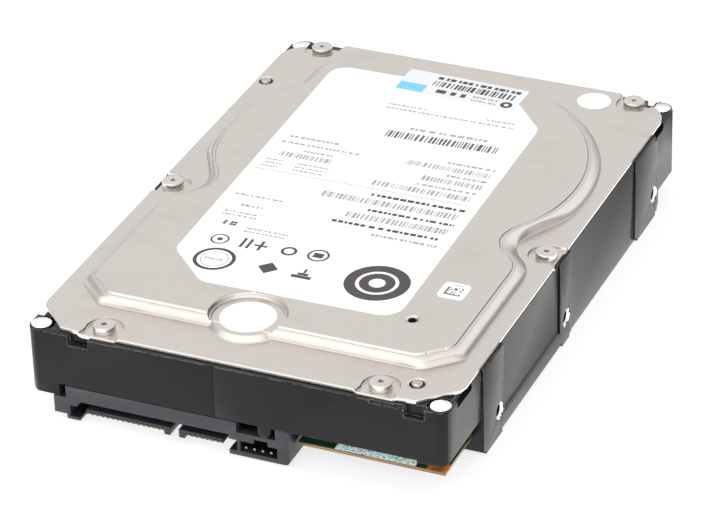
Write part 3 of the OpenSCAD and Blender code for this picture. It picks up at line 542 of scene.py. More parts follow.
def board_material():
    green, edge = (0.006, 0.055, 0.032), (0.24, 0.12, 0.035)
    p = Paint("board_laminate", green, 0.35, 0.0, 0.3)
    run_x = p.node("ShaderNodeTexBrick")
    run_x.offset = 0.37
    sizes = (("Scale", 1.0), ("Mortar Size", 0.00016), ("Brick Width", 0.0062), ("Row Height", 0.0011))
    for key, v in sizes:
        run_x.inputs[key].default_value = v
    p.link(p.place, run_x.inputs["Vector"])
    traces = p.both(run_x.outputs["Fac"], p.ranged(p.noise(120, 2), 0.42, 0.5))
    vias = p.both(p.ranged(p.cells(420), 0.10, 0.13, 1.0, 0.0), p.ranged(p.noise(90, 2), 0.5, 0.56))
    tops = p.mixed(traces, green, (0.015, 0.10, 0.055))
    tops = p.mixed(vias, tops, (0.55, 0.50, 0.38))
    # bare ground strip and burnt corner along the front edge of the top
    top = p.math("GREATER_THAN", p.facing("Z"), 0.7)
    strip = p.both(top, p.within("X", 22, 41), p.within("Y", -69.75, -67.2))
    pits = p.ranged(p.noise(2400, 4, rough=0.7), 0.40, 0.50)
    tops = p.mixed(strip, tops, p.mixed(pits, (0.03, 0.22, 0.20), (0.88, 1.0, 1.0)))
    # the strip also glows a little: painted light that lifts it out of the shade under the casting's front
    # edge
    p.link(p.mixed(pits, (0.0, 0.05, 0.05), (0.26, 0.34, 0.35)), p.shader.inputs["Emission Color"])
    p.link(strip, p.shader.inputs["Emission Strength"])
    corner = p.both(top, p.within("X", 43.5, 49), p.within("Y", -71, -66.5))
    amber = p.mixed(p.ranged(p.noise(500, 3), 0.45, 0.55), (0.30, 0.12, 0.03), (0.75, 0.20, 0.03))
    tops = p.mixed(corner, tops, amber)
    flat = p.math("GREATER_THAN", p.math("ABSOLUTE", p.facing("Z")), 0.7)
    plies = p.ranged(p.noise(3000, 2, (0.05, 0.05, 1)), 0.4, 0.6)
    layers = p.mixed(plies, shade(edge, 0.75), shade(edge, 1.25))
    p.set_colour(p.mixed(flat, layers, tops))
    p.set_rough(p.ranged(p.noise(400, 3), 0.3, 0.7, 0.26, 0.42))
    p.bump(traces, 0.5, 0.00003)
    return p


def connector_material():
    p = grained("connector_plastic", (0.020, 0.022, 0.028), 0.40, grain=2600, depth=0.00002)
    skin = p.shader.inputs["Base Color"].links[0].from_socket
    front = PLUG_LOW[1]
    # little light reaches the bottom of the sockets
    deep = p.ranged(p.axis("Y"), (front + 1.0) * MM, (front + 2.6) * MM, 0.0, 0.8)
    under = p.ranged(p.axis("Z"), 4.6 * MM, 4.0 * MM, 0.0, 0.45)
    p.set_colour(p.mixed(p.math("MAXIMUM", deep, under), skin, (0.002, 0.002, 0.003)))
    return p


def contact_material():
    p = brushed("contact_gold", (0.74, 0.66, 0.50), 0.25, (1, 1, 10))
    skin = p.shader.inputs["Base Color"].links[0].from_socket
    front = node_box("connector_contacts")[0][1]
    # the front ends stand in the shadow of their slots
    deep = p.ranged(p.axis("Y"), (front + 1.6) * MM, (front + 2.2) * MM, 0.6, 0.0)
    p.set_colour(p.mixed(deep, skin, (0.02, 0.02, 0.02)))
    return p


def disk_material():
    p = Paint("disk_surface", (0.80, 0.81, 0.83), 0.05, 1.0)
    p.set_colour(p.mixed(p.noise(20, 2), (0.78, 0.79, 0.81), (0.82, 0.83, 0.85)))
    p.set_rough(p.ranged(p.noise(600, 3), 0.3, 0.7, 0.03, 0.08))
    return p


MATERIALS = {paint.name: paint.material for paint in (
    cover_material(),
    casting_material(),
    label_material("label_paper", (0.92, 0.92, 0.92)),
    label_material("asset_paper", (0.74, 0.755, 0.78)),
    board_material(),
    disk_material(),
    grained("screw_steel", (0.66, 0.63, 0.60), 0.22, 1.0, grain=4200, depth=0.000003, vary=0.05),
    grained("gasket_foam", (0.03, 0.03, 0.032), 0.85, grain=4200, depth=0.00005),
    grained("filter_felt", (0.72, 0.70, 0.64), 0.95, grain=5200, depth=0.00012),
    grained("carbon_felt", (0.02, 0.02, 0.021), 0.95, grain=5200, depth=0.0001),
    grained("desiccant_pouch", (0.62, 0.65, 0.68), 0.9, grain=3600, depth=0.0001),
    brushed("turned_aluminium", (0.66, 0.67, 0.68), 0.34, (1, 1, 30)),
    grained("bronze", (0.52, 0.33, 0.14), 0.42, 0.9, grain=5200),
    brushed("lamination_steel", (0.33, 0.34, 0.36), 0.42, (1, 1, 60)),
    brushed("copper_winding", (0.62, 0.24, 0.09), 0.35, (1, 1, 40), 0.00004),
    brushed("bearing_steel", (0.52, 0.50, 0.48), 0.14, (1, 1, 20)),
    grained("magnet_nickel", (0.60, 0.61, 0.62), 0.25, 1.0, grain=900),
    grained("yoke_steel", (0.50, 0.51, 0.53), 0.32, 1.0, grain=1500),
    grained("stop_rubber", (0.02, 0.02, 0.021), 0.8),
    grained("pale_plastic", (0.72, 0.69, 0.60), 0.5),
    grained("black_plastic", (0.02, 0.02, 0.022), 0.5),
    grained("flex_film", (0.50, 0.25, 0.06), 0.3, 0.2, grain=1800),
    grained("chip_resin", (0.018, 0.018, 0.020), 0.55, grain=5200),
    connector_material(),
    contact_material(),
    grained("passive_parts", (0.34, 0.24, 0.15), 0.45),
)}
INK = ink_material("label_ink", (0.050, 0.043, 0.040))
GREY_INK = ink_material("label_grey_ink", (0.36, 0.35, 0.345))
BROWN_INK = ink_material("label_brown_ink", (0.11, 0.075, 0.055))
BLUE_INK = ink_material("asset_blue_ink", (0.16, 0.52, 0.70))

slots = {s["node"]: s["material_slot"] for s in frame["record"]["subparts"]}
for node_name, node_object in frame["nodes"].items():
    node_object.data.materials.clear()
    node_object.data.materials.append(MATERIALS[slots[node_name]])

# ------------------------------------------------------------ stamped cover

EDGE_X, EDGE_Y = 43.3, -58.5       # straight sides and front of the plateau
FOOT_X, FOOT_Y = 46.3, -60.4       # the same at the foot of the band round it
DOME_R, DOME_FOOT_R = 43.9, 47.1
STEP_DROP, STEP_RUN = 0.45, 0.42   # first drop at the plateau's edge, and the run it takes
LINE_DROP, LINE_AT = 0.12, 0.74    # fine second step, and how far out it starts
BAND_AT = 0.88                     # where the band's slope starts
FOOT_WALL = 0.32                   # upright wall at the foot of the band
PAD_WIDTH = 1.05                   # the pad's width over its length
BOWL_R, BOWL_RUN = 8.2, 0.6        # wall cut back into the plateau behind the pad
DISC_R, DISC_RUN = 7.5, 1.25       # wall that bulges out in front of it


def outline_round_dome(side_x, front_y, chamfer, dome_r, s_curve, bulge):
    """Closed curve of the raised area. s_curve runs past the right middle screw, front to back.

    bulge is the middle and the radius of the corner at the rear left.
    """
    cx, cy = chamfer
    right = [np.array([[side_x - cx, front_y], [side_x, front_y + cy]]), s_curve]
    start = math.degrees(math.atan2(*(s_curve[-1] - SPINDLE)[::-1])) + 3
    bx, by, br = bulge
    dome_a = arc(SPINDLE, dome_r, start, 180 - math.degrees(math.asin((by - SPINDLE[1]) / dome_r)) - 0.5, 2)
    corner = arc((bx + br, by - br), br, 90, 180, 8)
    down = SPINDLE[1] + math.sqrt(dome_r ** 2 - bx ** 2)
    dome_b = arc(SPINDLE, dome_r, math.degrees(math.atan2(down - SPINDLE[1], bx)), 180 - start, 2)
    left = [s_curve[::-1] * (-1, 1), np.array([[-side_x, front_y + cy], [-side_x + cx, front_y]])]
    return np.concatenate([*right, dome_a, corner, dome_b, *left])


plateau_s = np.array([[43.3, -18.2], [42.4, -15.3], [40.2, -12.8], [37.6, -10.6], [36.1, -7.9],
                      [35.7, -5.0], [36.4, -1.6], [38.2, 1.7], [40.4, 5.2], [42.1, 9.0]])
foot_s = np.array([[46.3, -17.8], [45.6, -14.2], [43.6, -10.8], [41.2, -8.4], [39.7, -5.7],
                   [39.3, -2.7], [40.2, 0.7], [42.2, 4.4], [44.4, 8.2], [45.7, 10.8]])
EDGE = softened(resampled(outline_round_dome(
    EDGE_X, EDGE_Y, (6.2, 6.0), DOME_R, plateau_s, (-35, 60.6, 5.5)), 0.55), 5)
FOOT = softened(resampled(outline_round_dome(
    FOOT_X, FOOT_Y, (7.4, 7.2), DOME_FOOT_R, foot_s, (-38.2, 63.8, 8)), 0.55), 5)


def land_curve(p, r):
    """Recess round a cover screw, open towards the nearest cover edge."""
    out = np.array([1.0, 0]) * np.sign(p[0]) if abs(p[0]) > 45 else np.array([0, 1.0]) * np.sign(p[1])
    side = np.array([-out[1], out[0]])
    ends = [p + out * 12 + side * (r + 2.2), p + out * 12 - side * (r + 2.2)]
    a = math.degrees(math.atan2(side[1], side[0]))
    back = arc(p, r, a - 20, a + 200, 8)
    return resampled(np.concatenate([back, [ends[1]], [ends[0]]]), 0.6)


ROUND_R = 0.28                     # of the sheared edge
LANDS = [land_curve(p, LAND_R) for p in SCREWS]
TICKS = [np.array([39.05, -57.15]), np.array([42.05, -54.25])]     # dents across the front right chamfer
TICK_ACROSS = np.array([0.72, -0.69])      # direction across the chamfer, outwards
TICK_ALONG = np.array([-TICK_ACROSS[1], TICK_ACROSS[0]])
TICK_WIDTH, TICK_REACH = 0.28, 0.55


def tick_space(points, tick):
    """Distance along and across the chamfer from a tick's middle."""
    away = points - tick
    return away @ TICK_ALONG, away @ TICK_ACROSS


def lower_of(a, b, k):
    """Lower of two heights, with the crease between them rounded over k."""
    t = np.clip(0.5 + 0.5 * (b - a) / k, 0, 1)
    return b + (a - b) * t - k * t * (1 - t)


def band_height(points):
    """Height of the stamped sheet's top, without the screw lands and dimples."""
    to_edge = signed_distance(points, EDGE)
    to_foot = signed_distance(points, FOOT)
    first = STEP_DROP * smooth((to_edge + 0.08) / STEP_RUN)
    second = LINE_DROP * smooth((to_edge - LINE_AT) / 0.10)
    band_top = PLATEAU_Z - STEP_DROP - LINE_DROP
    wall_top = FLANGE_Z + FOOT_WALL
    run = np.clip(to_edge - BAND_AT, 0, None)
    left = np.clip(-to_foot, 0, None)
    share = run / np.maximum(run + left, 1e-6)
    slope = band_top - (band_top - wall_top) * (0.35 * share + 0.65 * share ** 2)
    slope = slope - FOOT_WALL * smooth((to_foot + 0.14) / 0.14)
    height = np.where(to_edge < BAND_AT, PLATEAU_Z - first - second, np.maximum(slope, FLANGE_Z))
    # round pad: cut back into the plateau, bulging out in front
    away = np.linalg.norm((points - PAD) / (PAD_WIDTH, 1.0), axis=1)
    bowl = PAD_Z + (PLATEAU_Z - PAD_Z + 0.4) * smooth((away - BOWL_R) / BOWL_RUN)
    bowl = np.where(away > BOWL_R + BOWL_RUN, PLATEAU_Z + 1, bowl)
    height = lower_of(height, bowl, 0.22)
    disc = PAD_Z - (PAD_Z - FLANGE_Z + 0.3) * smooth((away - DISC_R) / DISC_RUN)
    disc = np.where(away > DISC_R + DISC_RUN, FLANGE_Z - 0.3, disc)
    return np.where(away < 12, -lower_of(-height, -disc, 0.45), height)


def cover_height(points):
    """Height of the cover's top, with its rounded edge, screw lands, dimples and dents."""
    height = band_height(points)
    # the sheared edge is rounded over
    inward = np.clip(ROUND_R + signed_distance(points, OUTLINE), 0, ROUND_R)
    height = height - (ROUND_R - np.sqrt(np.maximum(ROUND_R ** 2 - inward ** 2, 0)))
    for land in LANDS:
        depth = smooth((0.2 - signed_distance(points, land)) / 0.36)
        height = height - LAND_DEPTH * depth * (height < FLANGE_Z + 0.4)
    away = np.linalg.norm(points - BREATHER, axis=1)
    height = height - 0.35 * smooth((1.75 - away) / 0.8)
    for pin in PINS:
        away = np.linalg.norm(points - pin, axis=1)
        height = height - 0.15 * smooth((PIN_R + PIN_GAP + 0.5 - away) / 0.45)
    for tick in TICKS:
        along, across = tick_space(points, tick)
        dent = smooth((TICK_WIDTH - np.abs(along)) / 0.2) * (np.abs(across) < TICK_REACH)
        height = height - 0.30 * dent
    return height


def cover_outline():
    """Edge of the cover: cut across its front corners, round at its rear ones, with shallow notches."""
    x, y0, y1 = COVER_HIGH[0], COVER_LOW[1], COVER_HIGH[1]
    rear_r, rear_y, notch = 7.1, 71.1, 0.5
    right = [
        [[37.6, y0], [42.3, -71.9], [44.4, -69.7], [47.4, -67.0], [49.6, -64.7], [x, -62.6]],
        [[x, -9.0], [x - notch, -8.2], [x - notch, -2.6], [x, -1.8]],
        arc((x - rear_r, 62.5), rear_r, 0, 89, 6),
        [[x - rear_r, rear_y], [37.5, rear_y], [37.2, y1]],
    ]
    half = np.concatenate([np.array(part, float) for part in right])
    return resampled(np.concatenate([half, half[::-1] * (-1, 1)]), 0.6)


OUTLINE = cover_outline()


def on_sheet(ring, outer, holes):
    """The ring where it lies wholly on the sheet, else its open pieces folded back on themselves."""
    ok = inside(ring, outer)
    for hole in holes:
        ok &= ~inside(ring, hole)
    if ok.all():
        return [ring]
    pieces = []
    for start in np.flatnonzero(ok & ~np.roll(ok, 1)):
        run = []
        k = start
        while ok[k % len(ring)] and len(run) < len(ring):
            run.append(ring[k % len(ring)])
            k += 1
        if len(run) > 1:
            pieces.append(np.array(run + run[-2:0:-1]))
    return pieces


def cover_rings():
    """Curves that the cover's triangles follow, close together where its height changes."""
    edge_at = (-1.2, -0.5, -0.1, -0.02, 0.06, 0.14, 0.25, 0.45, 0.73, 0.79, 0.88, 1.05, 1.4)
    foot_at = (-1.1, -0.75, -0.45, -0.16, -0.07, 0.02, 0.25, 0.8)
    rings = [contour(EDGE, d) for d in edge_at] + [contour(FOOT, d) for d in foot_at]
    rings += [circle((0, 0), r, 132) * (PAD_WIDTH, 1.0) + PAD for r in np.arange(7.3, 10.1, 0.2)]
    rings += [circle(BREATHER, r, 32) for r in (1.2, 1.4, 1.6, 1.8)]
    rings += [circle(p, PIN_R + PIN_GAP + d, 40) for p in PINS for d in (0.08, 0.25, 0.42, 0.55)]
    rings += [contour(OUTLINE, -d) for d in (0.03, 0.08, 0.15, 0.22, 0.30)]
    rings += [contour(land, d) for land in LANDS for d in (-0.35, -0.17, -0.03, 0.1, 0.22, 0.4)]
    corners = ((-1, -1), (1, -1), (1, 1), (-1, 1))
    for tick in TICKS:
        for w in (0.08, TICK_WIDTH):
            rings.append(np.array([tick + TICK_ALONG * a * w + TICK_ACROSS * b * TICK_REACH
                                   for a, b in corners]))
    return rings


def make_cover():
    holes = [circle(p, 1.4, 24) for p in SCREWS]
    holes += [circle(p, PIN_R + PIN_GAP, 32) for p in PINS] + [circle(BREATHER, 1.05, 24)]
    inner = offset(OUTLINE, -0.01)
    loops = [piece for ring in cover_rings() for piece in on_sheet(ring, inner, holes)]
    flat, faces = triangulated(loops, OUTLINE, holes)
    top = cover_height(flat)
    h = 0.02
    slopes = np.stack([(cover_height(flat + step) - cover_height(flat - step)) / (2 * h)
                       for step in ((h, 0), (0, h))], 1)
    cover = sheet_object("stamped_cover", flat, faces, top, top - SHEET, slopes)
    cover.data.materials.append(MATERIALS["cover_steel"])
    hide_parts("top_cover")


make_cover()

# ------------------------------------------------------------ printed labels


def turned(points, degrees, centre=(0, 0)):
    a = math.radians(degrees)
    m = np.array([[math.cos(a), -math.sin(a)], [math.sin(a), math.cos(a)]])
    return (np.asarray(points, float) - centre) @ m.T + centre


def bar(x0, y0, x1, y1):
    return np.array([[x0, y0], [x1, y0], [x1, y1], [x0, y1]], float)


class Print:
    """Marks of one printed sheet, in the order in which they are drawn."""

    def __init__(self, seed):
        self.rng = random.Random(seed)
        self.marks = []

    def shape(self, points, ink=INK):
        self.marks.append((points, ink))

    def block(self, x0, y0, x1, y1, ink=INK):
        self.shape(bar(x0, y0, x1, y1), ink)

    def code(self, x0, x1, y, h, ink=GREY_INK, unit=0.27):
        """Row of upright bars of random width, like a machine-read code."""
        x = x0
        while x < x1 - unit:
            w = unit * self.rng.choice((1, 1, 2, 2, 3))
            self.block(x, y - h / 2, min(x + w, x1), y + h / 2, ink)
            x += w + unit * self.rng.choice((1, 1, 2))

    def text(self, x0, x1, y, h, size=1.0, ink=GREY_INK):
        """Row of short dashes that stands for a line of small print."""
        x = x0
        while x < x1 - 0.3:
            w = size * self.rng.uniform(0.45, 1.5)
            self.block(x, y - h / 2, min(x + w, x1), y + h / 2, ink)
            x += w + size * self.rng.choice((0.28, 0.28, 0.28, 0.7))

    def ring(self, x, y, r, w, ink=INK, n=40):
        """Ring as four quarter bands."""
        for a0 in (0, 90, 180, 270):
            a1 = a0 + 90
            outer, inner = arc((x, y), r, a0, a1, 360 / n), arc((x, y), r - w, a1, a0, 360 / n)
            self.shape(np.concatenate([outer, inner]), ink)

    def turn(self, degrees, centre, first=0):
        """Turns the marks from the first one given onwards."""
        late = self.marks[first:]
        self.marks[first:] = [(turned(points, degrees, centre), ink) for points, ink in late]


def printed_sheet(name, outline, marks, inks, base, thickness, paper, stands_for, height=None):
    """Closed thin sheet whose printed marks are faces of its own top."""
    points, faces = [], []
    for shape in [outline, *[m for m, _ in marks]]:
        first = len(points)
        points += [Vector(p) for p in shape]
        faces.append(list(range(first, len(points))))
    flat, _, tris, _, _, owners = delaunay_2d_cdt(points, [], faces, 1, 1e-4)
    flat = np.array([tuple(v) for v in flat])
    tris = [tuple(t) for t in tris]
    paint = []
    for own in owners:
        marked = [i for i in own if i > 0]
        paint.append(1 + inks.index(marks[marked[0] - 1][1]) if marked else 0)
    kept = [k for k, own in enumerate(owners) if 0 in own]
    tri = np.array([tris[k] for k in kept])
    paint = [paint[k] for k in kept]
    bottom = np.full(len(flat), base) if height is None else height(flat)
    obj = sheet_object(name, flat, tri, bottom + thickness, bottom)
    obj.data.materials.append(paper)
    for ink in inks:
        obj.data.materials.append(ink)
    for polygon, value in zip(obj.data.polygons, paint):
        polygon.material_index = value
    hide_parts(stands_for)
    return obj


LABEL_TURN = 0.87
LABEL_T = LABEL_HIGH[2] - LABEL_LOW[2]
MAIN_OUTLINE = turned(filleted([
    (-31.6, -35.9, 4), (-20.4, -47.1, 4), (26.8, -47.1, 5), (26.8, 43.5, 4.5), (18.0, 53.8, 4.5),
    (13.5, 57.9, 2.5), (-31.6, 57.9, 4.5)]), LABEL_TURN)


def main_label():
    p = Print(7)
    # data panel to the right, front to back
    p.text(8, 24, -15.5, 0.95)
    p.text(-3, 24.2, -12.4, 1.05, 1.2, INK)
    p.code(-1, 24, -8.7, 2.5)
    p.text(3, 24.2, -5.4, 1.0, 1.1, INK)
    p.code(-10, 24, -1.7, 2.5)
    p.text(1, 24.2, 1.5, 1.1, 1.15, INK)
    p.block(-29.5, 3.95, 24, 4.2, GREY_INK)
    p.code(-1, 24, 6.9, 2.3)
    p.text(9, 24, 9.7, 0.85)
    p.code(9, 24, 12.9, 2.2)
    p.text(14, 24, 15.6, 0.9)
    p.code(3, 24, 18.6, 2.2)
    p.text(12, 24, 21.4, 0.9)
    first = len(p.marks)
    p.code(-7, 21, 30.3, 3.2, BROWN_INK, 0.32)
    p.turn(1.4, (7, 30.3), first)
    first = len(p.marks)
    p.text(-2.5, 17, 34.0, 1.1, 1.3)
    p.turn(1.4, (7, 34), first)
    p.text(-12, 20.5, 42.0, 0.7, 0.8)
    p.text(-12, -2, 43.9, 0.7, 0.8)
    p.text(13, 20.5, 44.1, 0.7, 0.8)
    # left panel
    p.text(-28, -15, 20.9, 0.9)
    p.text(-29, -9, 17.9, 0.85, 0.9)
    p.text(-22, -14, 15.0, 0.8, 0.8)
    p.code(-27, -14, 12.4, 2.2)
    for y in (9.0, 7.4, 5.9):
        p.text(-29, -24.5, y, 0.6, 0.7)
        p.text(-21, -13, y, 0.6, 0.7)
    p.text(-29, -16.5, -8.6, 0.7, 0.9)
    p.text(-25.5, -20, -13.1, 1.0, 0.9)
    p.text(-28, -20, -16.6, 0.7, 0.7)
    p.text(-28, -19.5, -18.0, 0.7, 0.7)
    # small generic marks: a square grid, rings, a bar pair, a diamond, a block
    for i in range(4):
        for j in range(4):
            if (i * 3 + j * 5 + i * j) % 3:
                x, y = -26 + 0.85 * i, -23.4 + 0.95 * j
                p.block(x, y, x + 0.75, y + 0.8)
    p.text(-20, -9.5, -22.4, 0.6, 0.8)
    p.text(-20, -9.5, -23.9, 0.6, 0.8)
    p.ring(-23.5, -29, 2.2, 0.45)
    p.shape(circle((-23.5, -29), 0.7, 16))
    p.block(-18.2, -30.8, -17.5, -26.6)
    p.block(-16.6, -30.8, -15.9, -26.6)
    p.block(-15.0, -29.1, -11.9, -28.4)
    p.block(-13.8, -30.8, -13.1, -26.6)
    p.ring(-6.5, -28.7, 1.9, 0.7)
    p.ring(0.5, -28.2, 2.6, 0.55)
    p.block(-0.7, -29.2, 1.7, -27.2)
    p.ring(-21, -37.5, 4.9, 0.9, INK, 60)
    p.ring(-21, -37.5, 3.3, 0.25, GREY_INK, 48)
    p.text(-23.4, -18.6, -37.5, 0.8, 0.7)
    p.shape(np.array([[-10.5, -37], [-8, -39.5], [-5.5, -37], [-8, -34.5]]))
    p.block(-1.9, -38.7, 2.9, -37.5)
    p.block(-0.8, -37.4, 1.8, -36.4)
    p.block(0.2, -36.3, 0.8, -34.6)
    # large dark disc with a plain pale ring and centre
    disc = (17.5, -34.7)
    p.ring(*disc, 7.5, 2.6, INK, 90)
    p.ring(*disc, 4.1, 2.2, INK, 60)
    p.turn(0.4, (0, 0))
    printed_sheet("printed_main_label", MAIN_OUTLINE, p.marks, [INK, GREY_INK, BROWN_INK],
                  PLATEAU_Z, LABEL_T, MATERIALS["label_paper"], "main_label")


def asset_label():
    outline = filleted([(-14.4, 50.7, 0.6), (17.2, 50.7, 0.6), (17.2, 61.7, 0.6), (-14.4, 61.7, 0.6)])
    outline = resampled(outline, 0.8)
    p = Print(19)
    p.block(-14.0, 51.2, -7, 55.0, BLUE_INK)
    p.code(-6.2, 15, 56.9, 2.8, INK, 0.3)
    p.text(-6.2, 15.6, 59.8, 1.3, 1.1, INK)
    p.text(-4, 4, 53.3, 1.7, 1.8, INK)
    p.text(5.5, 12, 53.9, 0.9, 0.8)
    p.text(5.5, 12, 52.2, 0.7, 0.8)
    p.ring(14.6, 53.0, 1.5, 0.9)
    centre = (1.4, 56.2)

    def rest_on(points):
        over = signed_distance(points, MAIN_OUTLINE)
        return PLATEAU_Z + 0.004 + LABEL_T * smooth((0.5 - over) / 0.5)

    p.turn(-2, centre)
    printed_sheet("printed_asset_label", turned(outline, -2, centre), p.marks, [INK, GREY_INK, BLUE_INK],
                  PLATEAU_Z, 0.09, MATERIALS["asset_paper"], "asset_label", rest_on)


def code_sticker():
    low, high = node_box("code_sticker")
    cx, cy = (low[:2] + high[:2]) / 2
    w, h = (high[:2] - low[:2]) / 2
    outline = filleted([(cx + i * w, cy + j * h, 1.3) for i, j in ((-1, -1), (1, -1), (1, 1), (-1, 1))])
    p = Print(3)
    cell = 0.42
    for i in range(9):
        for j in range(8):
            if p.rng.random() < 0.5 or i == 0 or j == 0:
                x, y = cx - 1.9 + cell * i, cy - 1.9 + cell * j
                p.block(x, y, x + cell * 0.93, y + cell * 0.93)
    p.text(cx - 1.2, cx + 1.4, cy + 2.3, 0.45, 0.5)
    printed_sheet("printed_code_sticker", outline, p.marks, [INK, GREY_INK], PLATEAU_Z,
                  high[2] - low[2], MATERIALS["label_paper"], "code_sticker")


main_label()
asset_label()
code_sticker()

# ------------------------------------------------------------ screws and pins


def cover_screw(centre, turn):
    """Flat-headed cover screw with a rounded rim and a small six-lobe recess."""
    low, high = node_box("cover_screws")
    tip, seat, top = low[2], FLANGE_Z - LAND_DEPTH, high[2]
    floor = top - 0.8
    shank = [(0, tip), (0.9, tip), (1.18, tip + 0.3), (1.18, seat)]
    head = [(2.45, seat), (2.55, seat + 0.12), (2.55, top - 0.30), (2.52, top - 0.16),
            (2.43, top - 0.05), (2.30, top), (1.5, top)]
    recess = [(0.72, top), (0.66, top - 0.06), (0.60, floor), (0.3, floor - 0.12), (0, floor - 0.15)]
    profile = shank + head + recess
    verts, faces = lathe(profile, centre, 48)
    # lobes: pull the recess wall in and out six times round
    lobed = []
    for x, y, z in verts:
        dx, dy = x - centre[0], y - centre[1]
        r = math.hypot(dx, dy)
        if 0.5 < r < 0.8 and z > floor - 0.01:
            a = math.atan2(dy, dx) + turn
            k = 1 + 0.2 * math.cos(6 * a)
            dx, dy = dx * k, dy * k
        lobed.append((centre[0] + dx, centre[1] + dy, z))
    return lobed, faces


def joined(name, parts, material, body, *nodes, sharp=32):
    verts, faces = [], []
    for part_verts, part_faces in parts:
        first = len(verts)
        verts += part_verts
        faces += [[first + i for i in f] for f in part_faces]
    obj = new_object(name, verts, faces, body)
    obj.data.materials.append(MATERIALS[material])
    if nodes:
        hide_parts(*nodes)
    obj.data.polygons.foreach_set("use_smooth", [True] * len(obj.data.polygons))
    obj.data.set_sharp_from_angle(angle=math.radians(sharp))
    return obj


joined("shaped_cover_screws", [cover_screw(p, 0.4 * k) for k, p in enumerate(SCREWS)],
       "screw_steel", BODY, "cover_screws")


def round_seal(name, node):
    """Die-cut paper dot with a softened edge."""
    low, high = node_box(node)
    centre, r = (low[:2] + high[:2]) / 2, (high[0] - low[0]) / 2
    z0, z1 = low[2], high[2]
    profile = [(0, z0), (r - 0.02, z0), (r, z0 + 0.03), (r, z1 - 0.03), (r - 0.04, z1), (0, z1)]
    joined(name, [lathe(profile, centre, 72)], "label_paper", BODY, node)


round_seal("front_paper_seal", "front_round_seal")
round_seal("rear_paper_seal", "rear_round_seal")


def locating_pins():
    z0, z1 = PIN_LOW[2], PIN_HIGH[2]
    profile = [(0, z0), (PIN_R, z0), (PIN_R, z1 - 0.4),
               (PIN_R - 0.12, z1 - 0.12), (PIN_R - 0.4, z1), (0, z1)]
    joined("shaped_locating_pins", [lathe(profile, p, 40) for p in PINS],
           "bearing_steel", BODY, "locating_pins")


locating_pins()

# ------------------------------------------------------------ softened edges on the carried-over parts


def soften_edges(node, width, angle=28, segments=2):
    """Small round on every edge of a CAD part, as casting, moulding and plating leave it."""
    obj = frame["nodes"][node]
    weld = obj.modifiers.new("weld", "WELD")
    weld.merge_threshold = 1e-6
    bevel = obj.modifiers.new("bevel", "BEVEL")
    bevel.width = width * MM
    bevel.segments = segments
    bevel.limit_method = "ANGLE"
    bevel.angle_limit = math.radians(angle)
    bevel.use_clamp_overlap = True
    bevel.harden_normals = True
    obj.data.polygons.foreach_set("use_smooth", [True] * len(obj.data.polygons))


for node_name, width in (("base_casting", 0.12), ("connector_block", 0.08), ("circuit_board", 0.05)):
    soften_edges(node_name, width)

# ------------------------------------------------------------ camera, floor and light

AZIMUTH, ELEVATION, ROLL = (math.radians(v) for v in (24.331, 30.604, -1.967))
DISTANCE, TARGET = 0.84922, Vector((-0.001135, -0.004466, 0.0130))
LENS, SENSOR = 186.048, 36.0
FLOOR_HALF = 6.0
FLOOR_GLOW_SEEN, FLOOR_GLOW_GIVEN = 0.74, 1.15      # seen by the camera, and given to the part
SKY_SEEN = 1.1


def make_camera():
    level = math.cos(ELEVATION)
    back = Vector((math.sin(AZIMUTH) * level, -math.cos(AZIMUTH) * level, math.sin(ELEVATION)))
    right = (-back).cross(Vector((0, 0, 1))).normalized()
    up = right.cross(-back)
    turned_right = math.cos(ROLL) * right + math.sin(ROLL) * up
    turned_up = -math.sin(ROLL) * right + math.cos(ROLL) * up
    data = bpy.data.cameras.new("camera")
    data.sensor_width = SENSOR
    data.lens = LENS
    data.clip_start, data.clip_end = 0.01, 20
    camera = bpy.data.objects.new("camera", data)
    m = Matrix((turned_right, turned_up, back)).transposed().to_4x4()
    m.translation = TARGET + back * DISTANCE
    camera.matrix_world = m
    bpy.context.scene.collection.objects.link(camera)
    bpy.context.scene.camera = camera


def make_floor():
    mesh = bpy.data.meshes.new("floor")
    s = FLOOR_HALF
    mesh.from_pydata([(-s, -s, 0), (s, -s, 0), (s, s, 0), (-s, s, 0)], [], [(0, 1, 2, 3)])
    floor = bpy.data.objects.new("floor", mesh)
    floor.location.z = -0.0002
    bpy.context.scene.collection.objects.link(floor)
    p = Paint("floor_paint", (0.34, 0.34, 0.34), 0.9, specular=0.0)
    p.set_colour(p.mixed(p.noise(3, 2), (0.33, 0.33, 0.33), (0.35, 0.35, 0.35)))
    p.shader.inputs["Emission Color"].default_value = (1, 1, 1, 1)
    seen = p.node("ShaderNodeLightPath").outputs["Is Camera Ray"]
    glow = p.ranged(seen, 0, 1, FLOOR_GLOW_GIVEN, FLOOR_GLOW_SEEN)
    p.link(glow, p.shader.inputs["Emission Strength"])
    # the floor lets a camera below it see the underside
    below = p.both(p.node("ShaderNodeNewGeometry").outputs["Backfacing"], seen)
    mix = p.node("ShaderNodeMixShader")
    p.link(below, mix.inputs[0])
    p.link(p.shader.outputs[0], mix.inputs[1])
    p.link(p.node("ShaderNodeBsdfTransparent").outputs[0], mix.inputs[2])
    p.link(mix.outputs[0], p.tree.nodes["Material Output"].inputs["Surface"])
    mesh.materials.append(p.material)


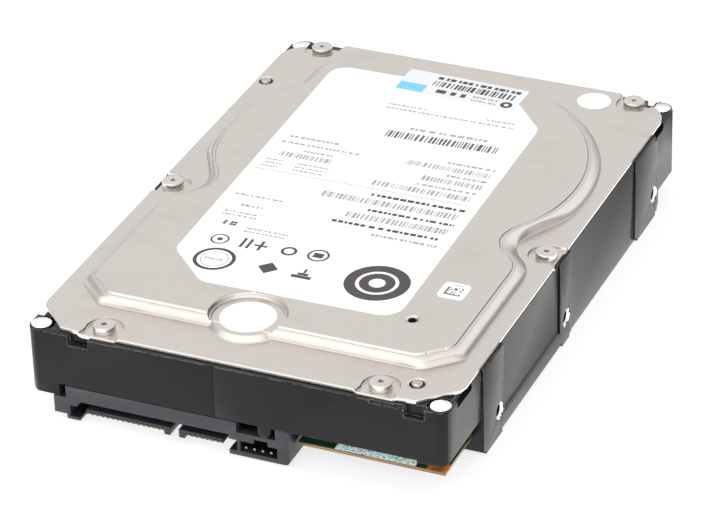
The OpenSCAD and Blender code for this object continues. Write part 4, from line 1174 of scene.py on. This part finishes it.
def area_light(name, place, target, size, power):
    data = bpy.data.lights.new(name, "AREA")
    data.shape = "RECTANGLE"
    data.size, data.size_y = size
    data.energy = power
    lamp = bpy.data.objects.new(name, data)
    lamp.location = place
    lamp.rotation_euler = (Vector(target) - Vector(place)).to_track_quat("-Z", "Y").to_euler()
    bpy.context.scene.collection.objects.link(lamp)


def make_light():
    """Studio seen in the metal: brighter in front and overhead, plain white behind the part."""
    world = bpy.data.worlds.new("studio")
    world.use_nodes = True
    tree = world.node_tree
    sky = tree.nodes["Background"]

    def math_node(how, a, b):
        n = tree.nodes.new("ShaderNodeMath")
        n.operation = how
        for k, v in enumerate((a, b)):
            if isinstance(v, (int, float)):
                n.inputs[k].default_value = v
            else:
                tree.links.new(v, n.inputs[k])
        return n.outputs[0]

    def share(value, low, high, to_low, to_high):
        n = tree.nodes.new("ShaderNodeMapRange")
        n.interpolation_type = "SMOOTHSTEP"
        for key, v in (("From Min", low), ("From Max", high), ("To Min", to_low), ("To Max", to_high)):
            n.inputs[key].default_value = v
        tree.links.new(value, n.inputs["Value"])
        return n.outputs["Result"]

    place = tree.nodes.new("ShaderNodeTexCoord")
    split = tree.nodes.new("ShaderNodeSeparateXYZ")
    tree.links.new(place.outputs["Generated"], split.inputs[0])
    front = share(split.outputs["Y"], -0.15, -0.6, 0.0, 0.75)
    low = share(split.outputs["Z"], 0.05, 0.42, 0.72, 1.0)
    glow = math_node("ADD", front, low)
    seen = tree.nodes.new("ShaderNodeLightPath").outputs["Is Camera Ray"]
    plain = math_node("MULTIPLY", seen, SKY_SEEN)
    other = math_node("MULTIPLY", math_node("SUBTRACT", 1.0, seen), glow)
    tree.links.new(math_node("ADD", plain, other), sky.inputs["Strength"])
    sky.inputs["Color"].default_value = (1.0, 1.0, 1.0, 1)
    bpy.context.scene.world = world
    area_light("key", (-0.35, 0.15, 1.1), (0, 0, 0), (0.7, 0.7), 1.2)


make_camera()
make_floor()
make_light()
bpy.context.scene.view_settings.view_transform = "Standard"
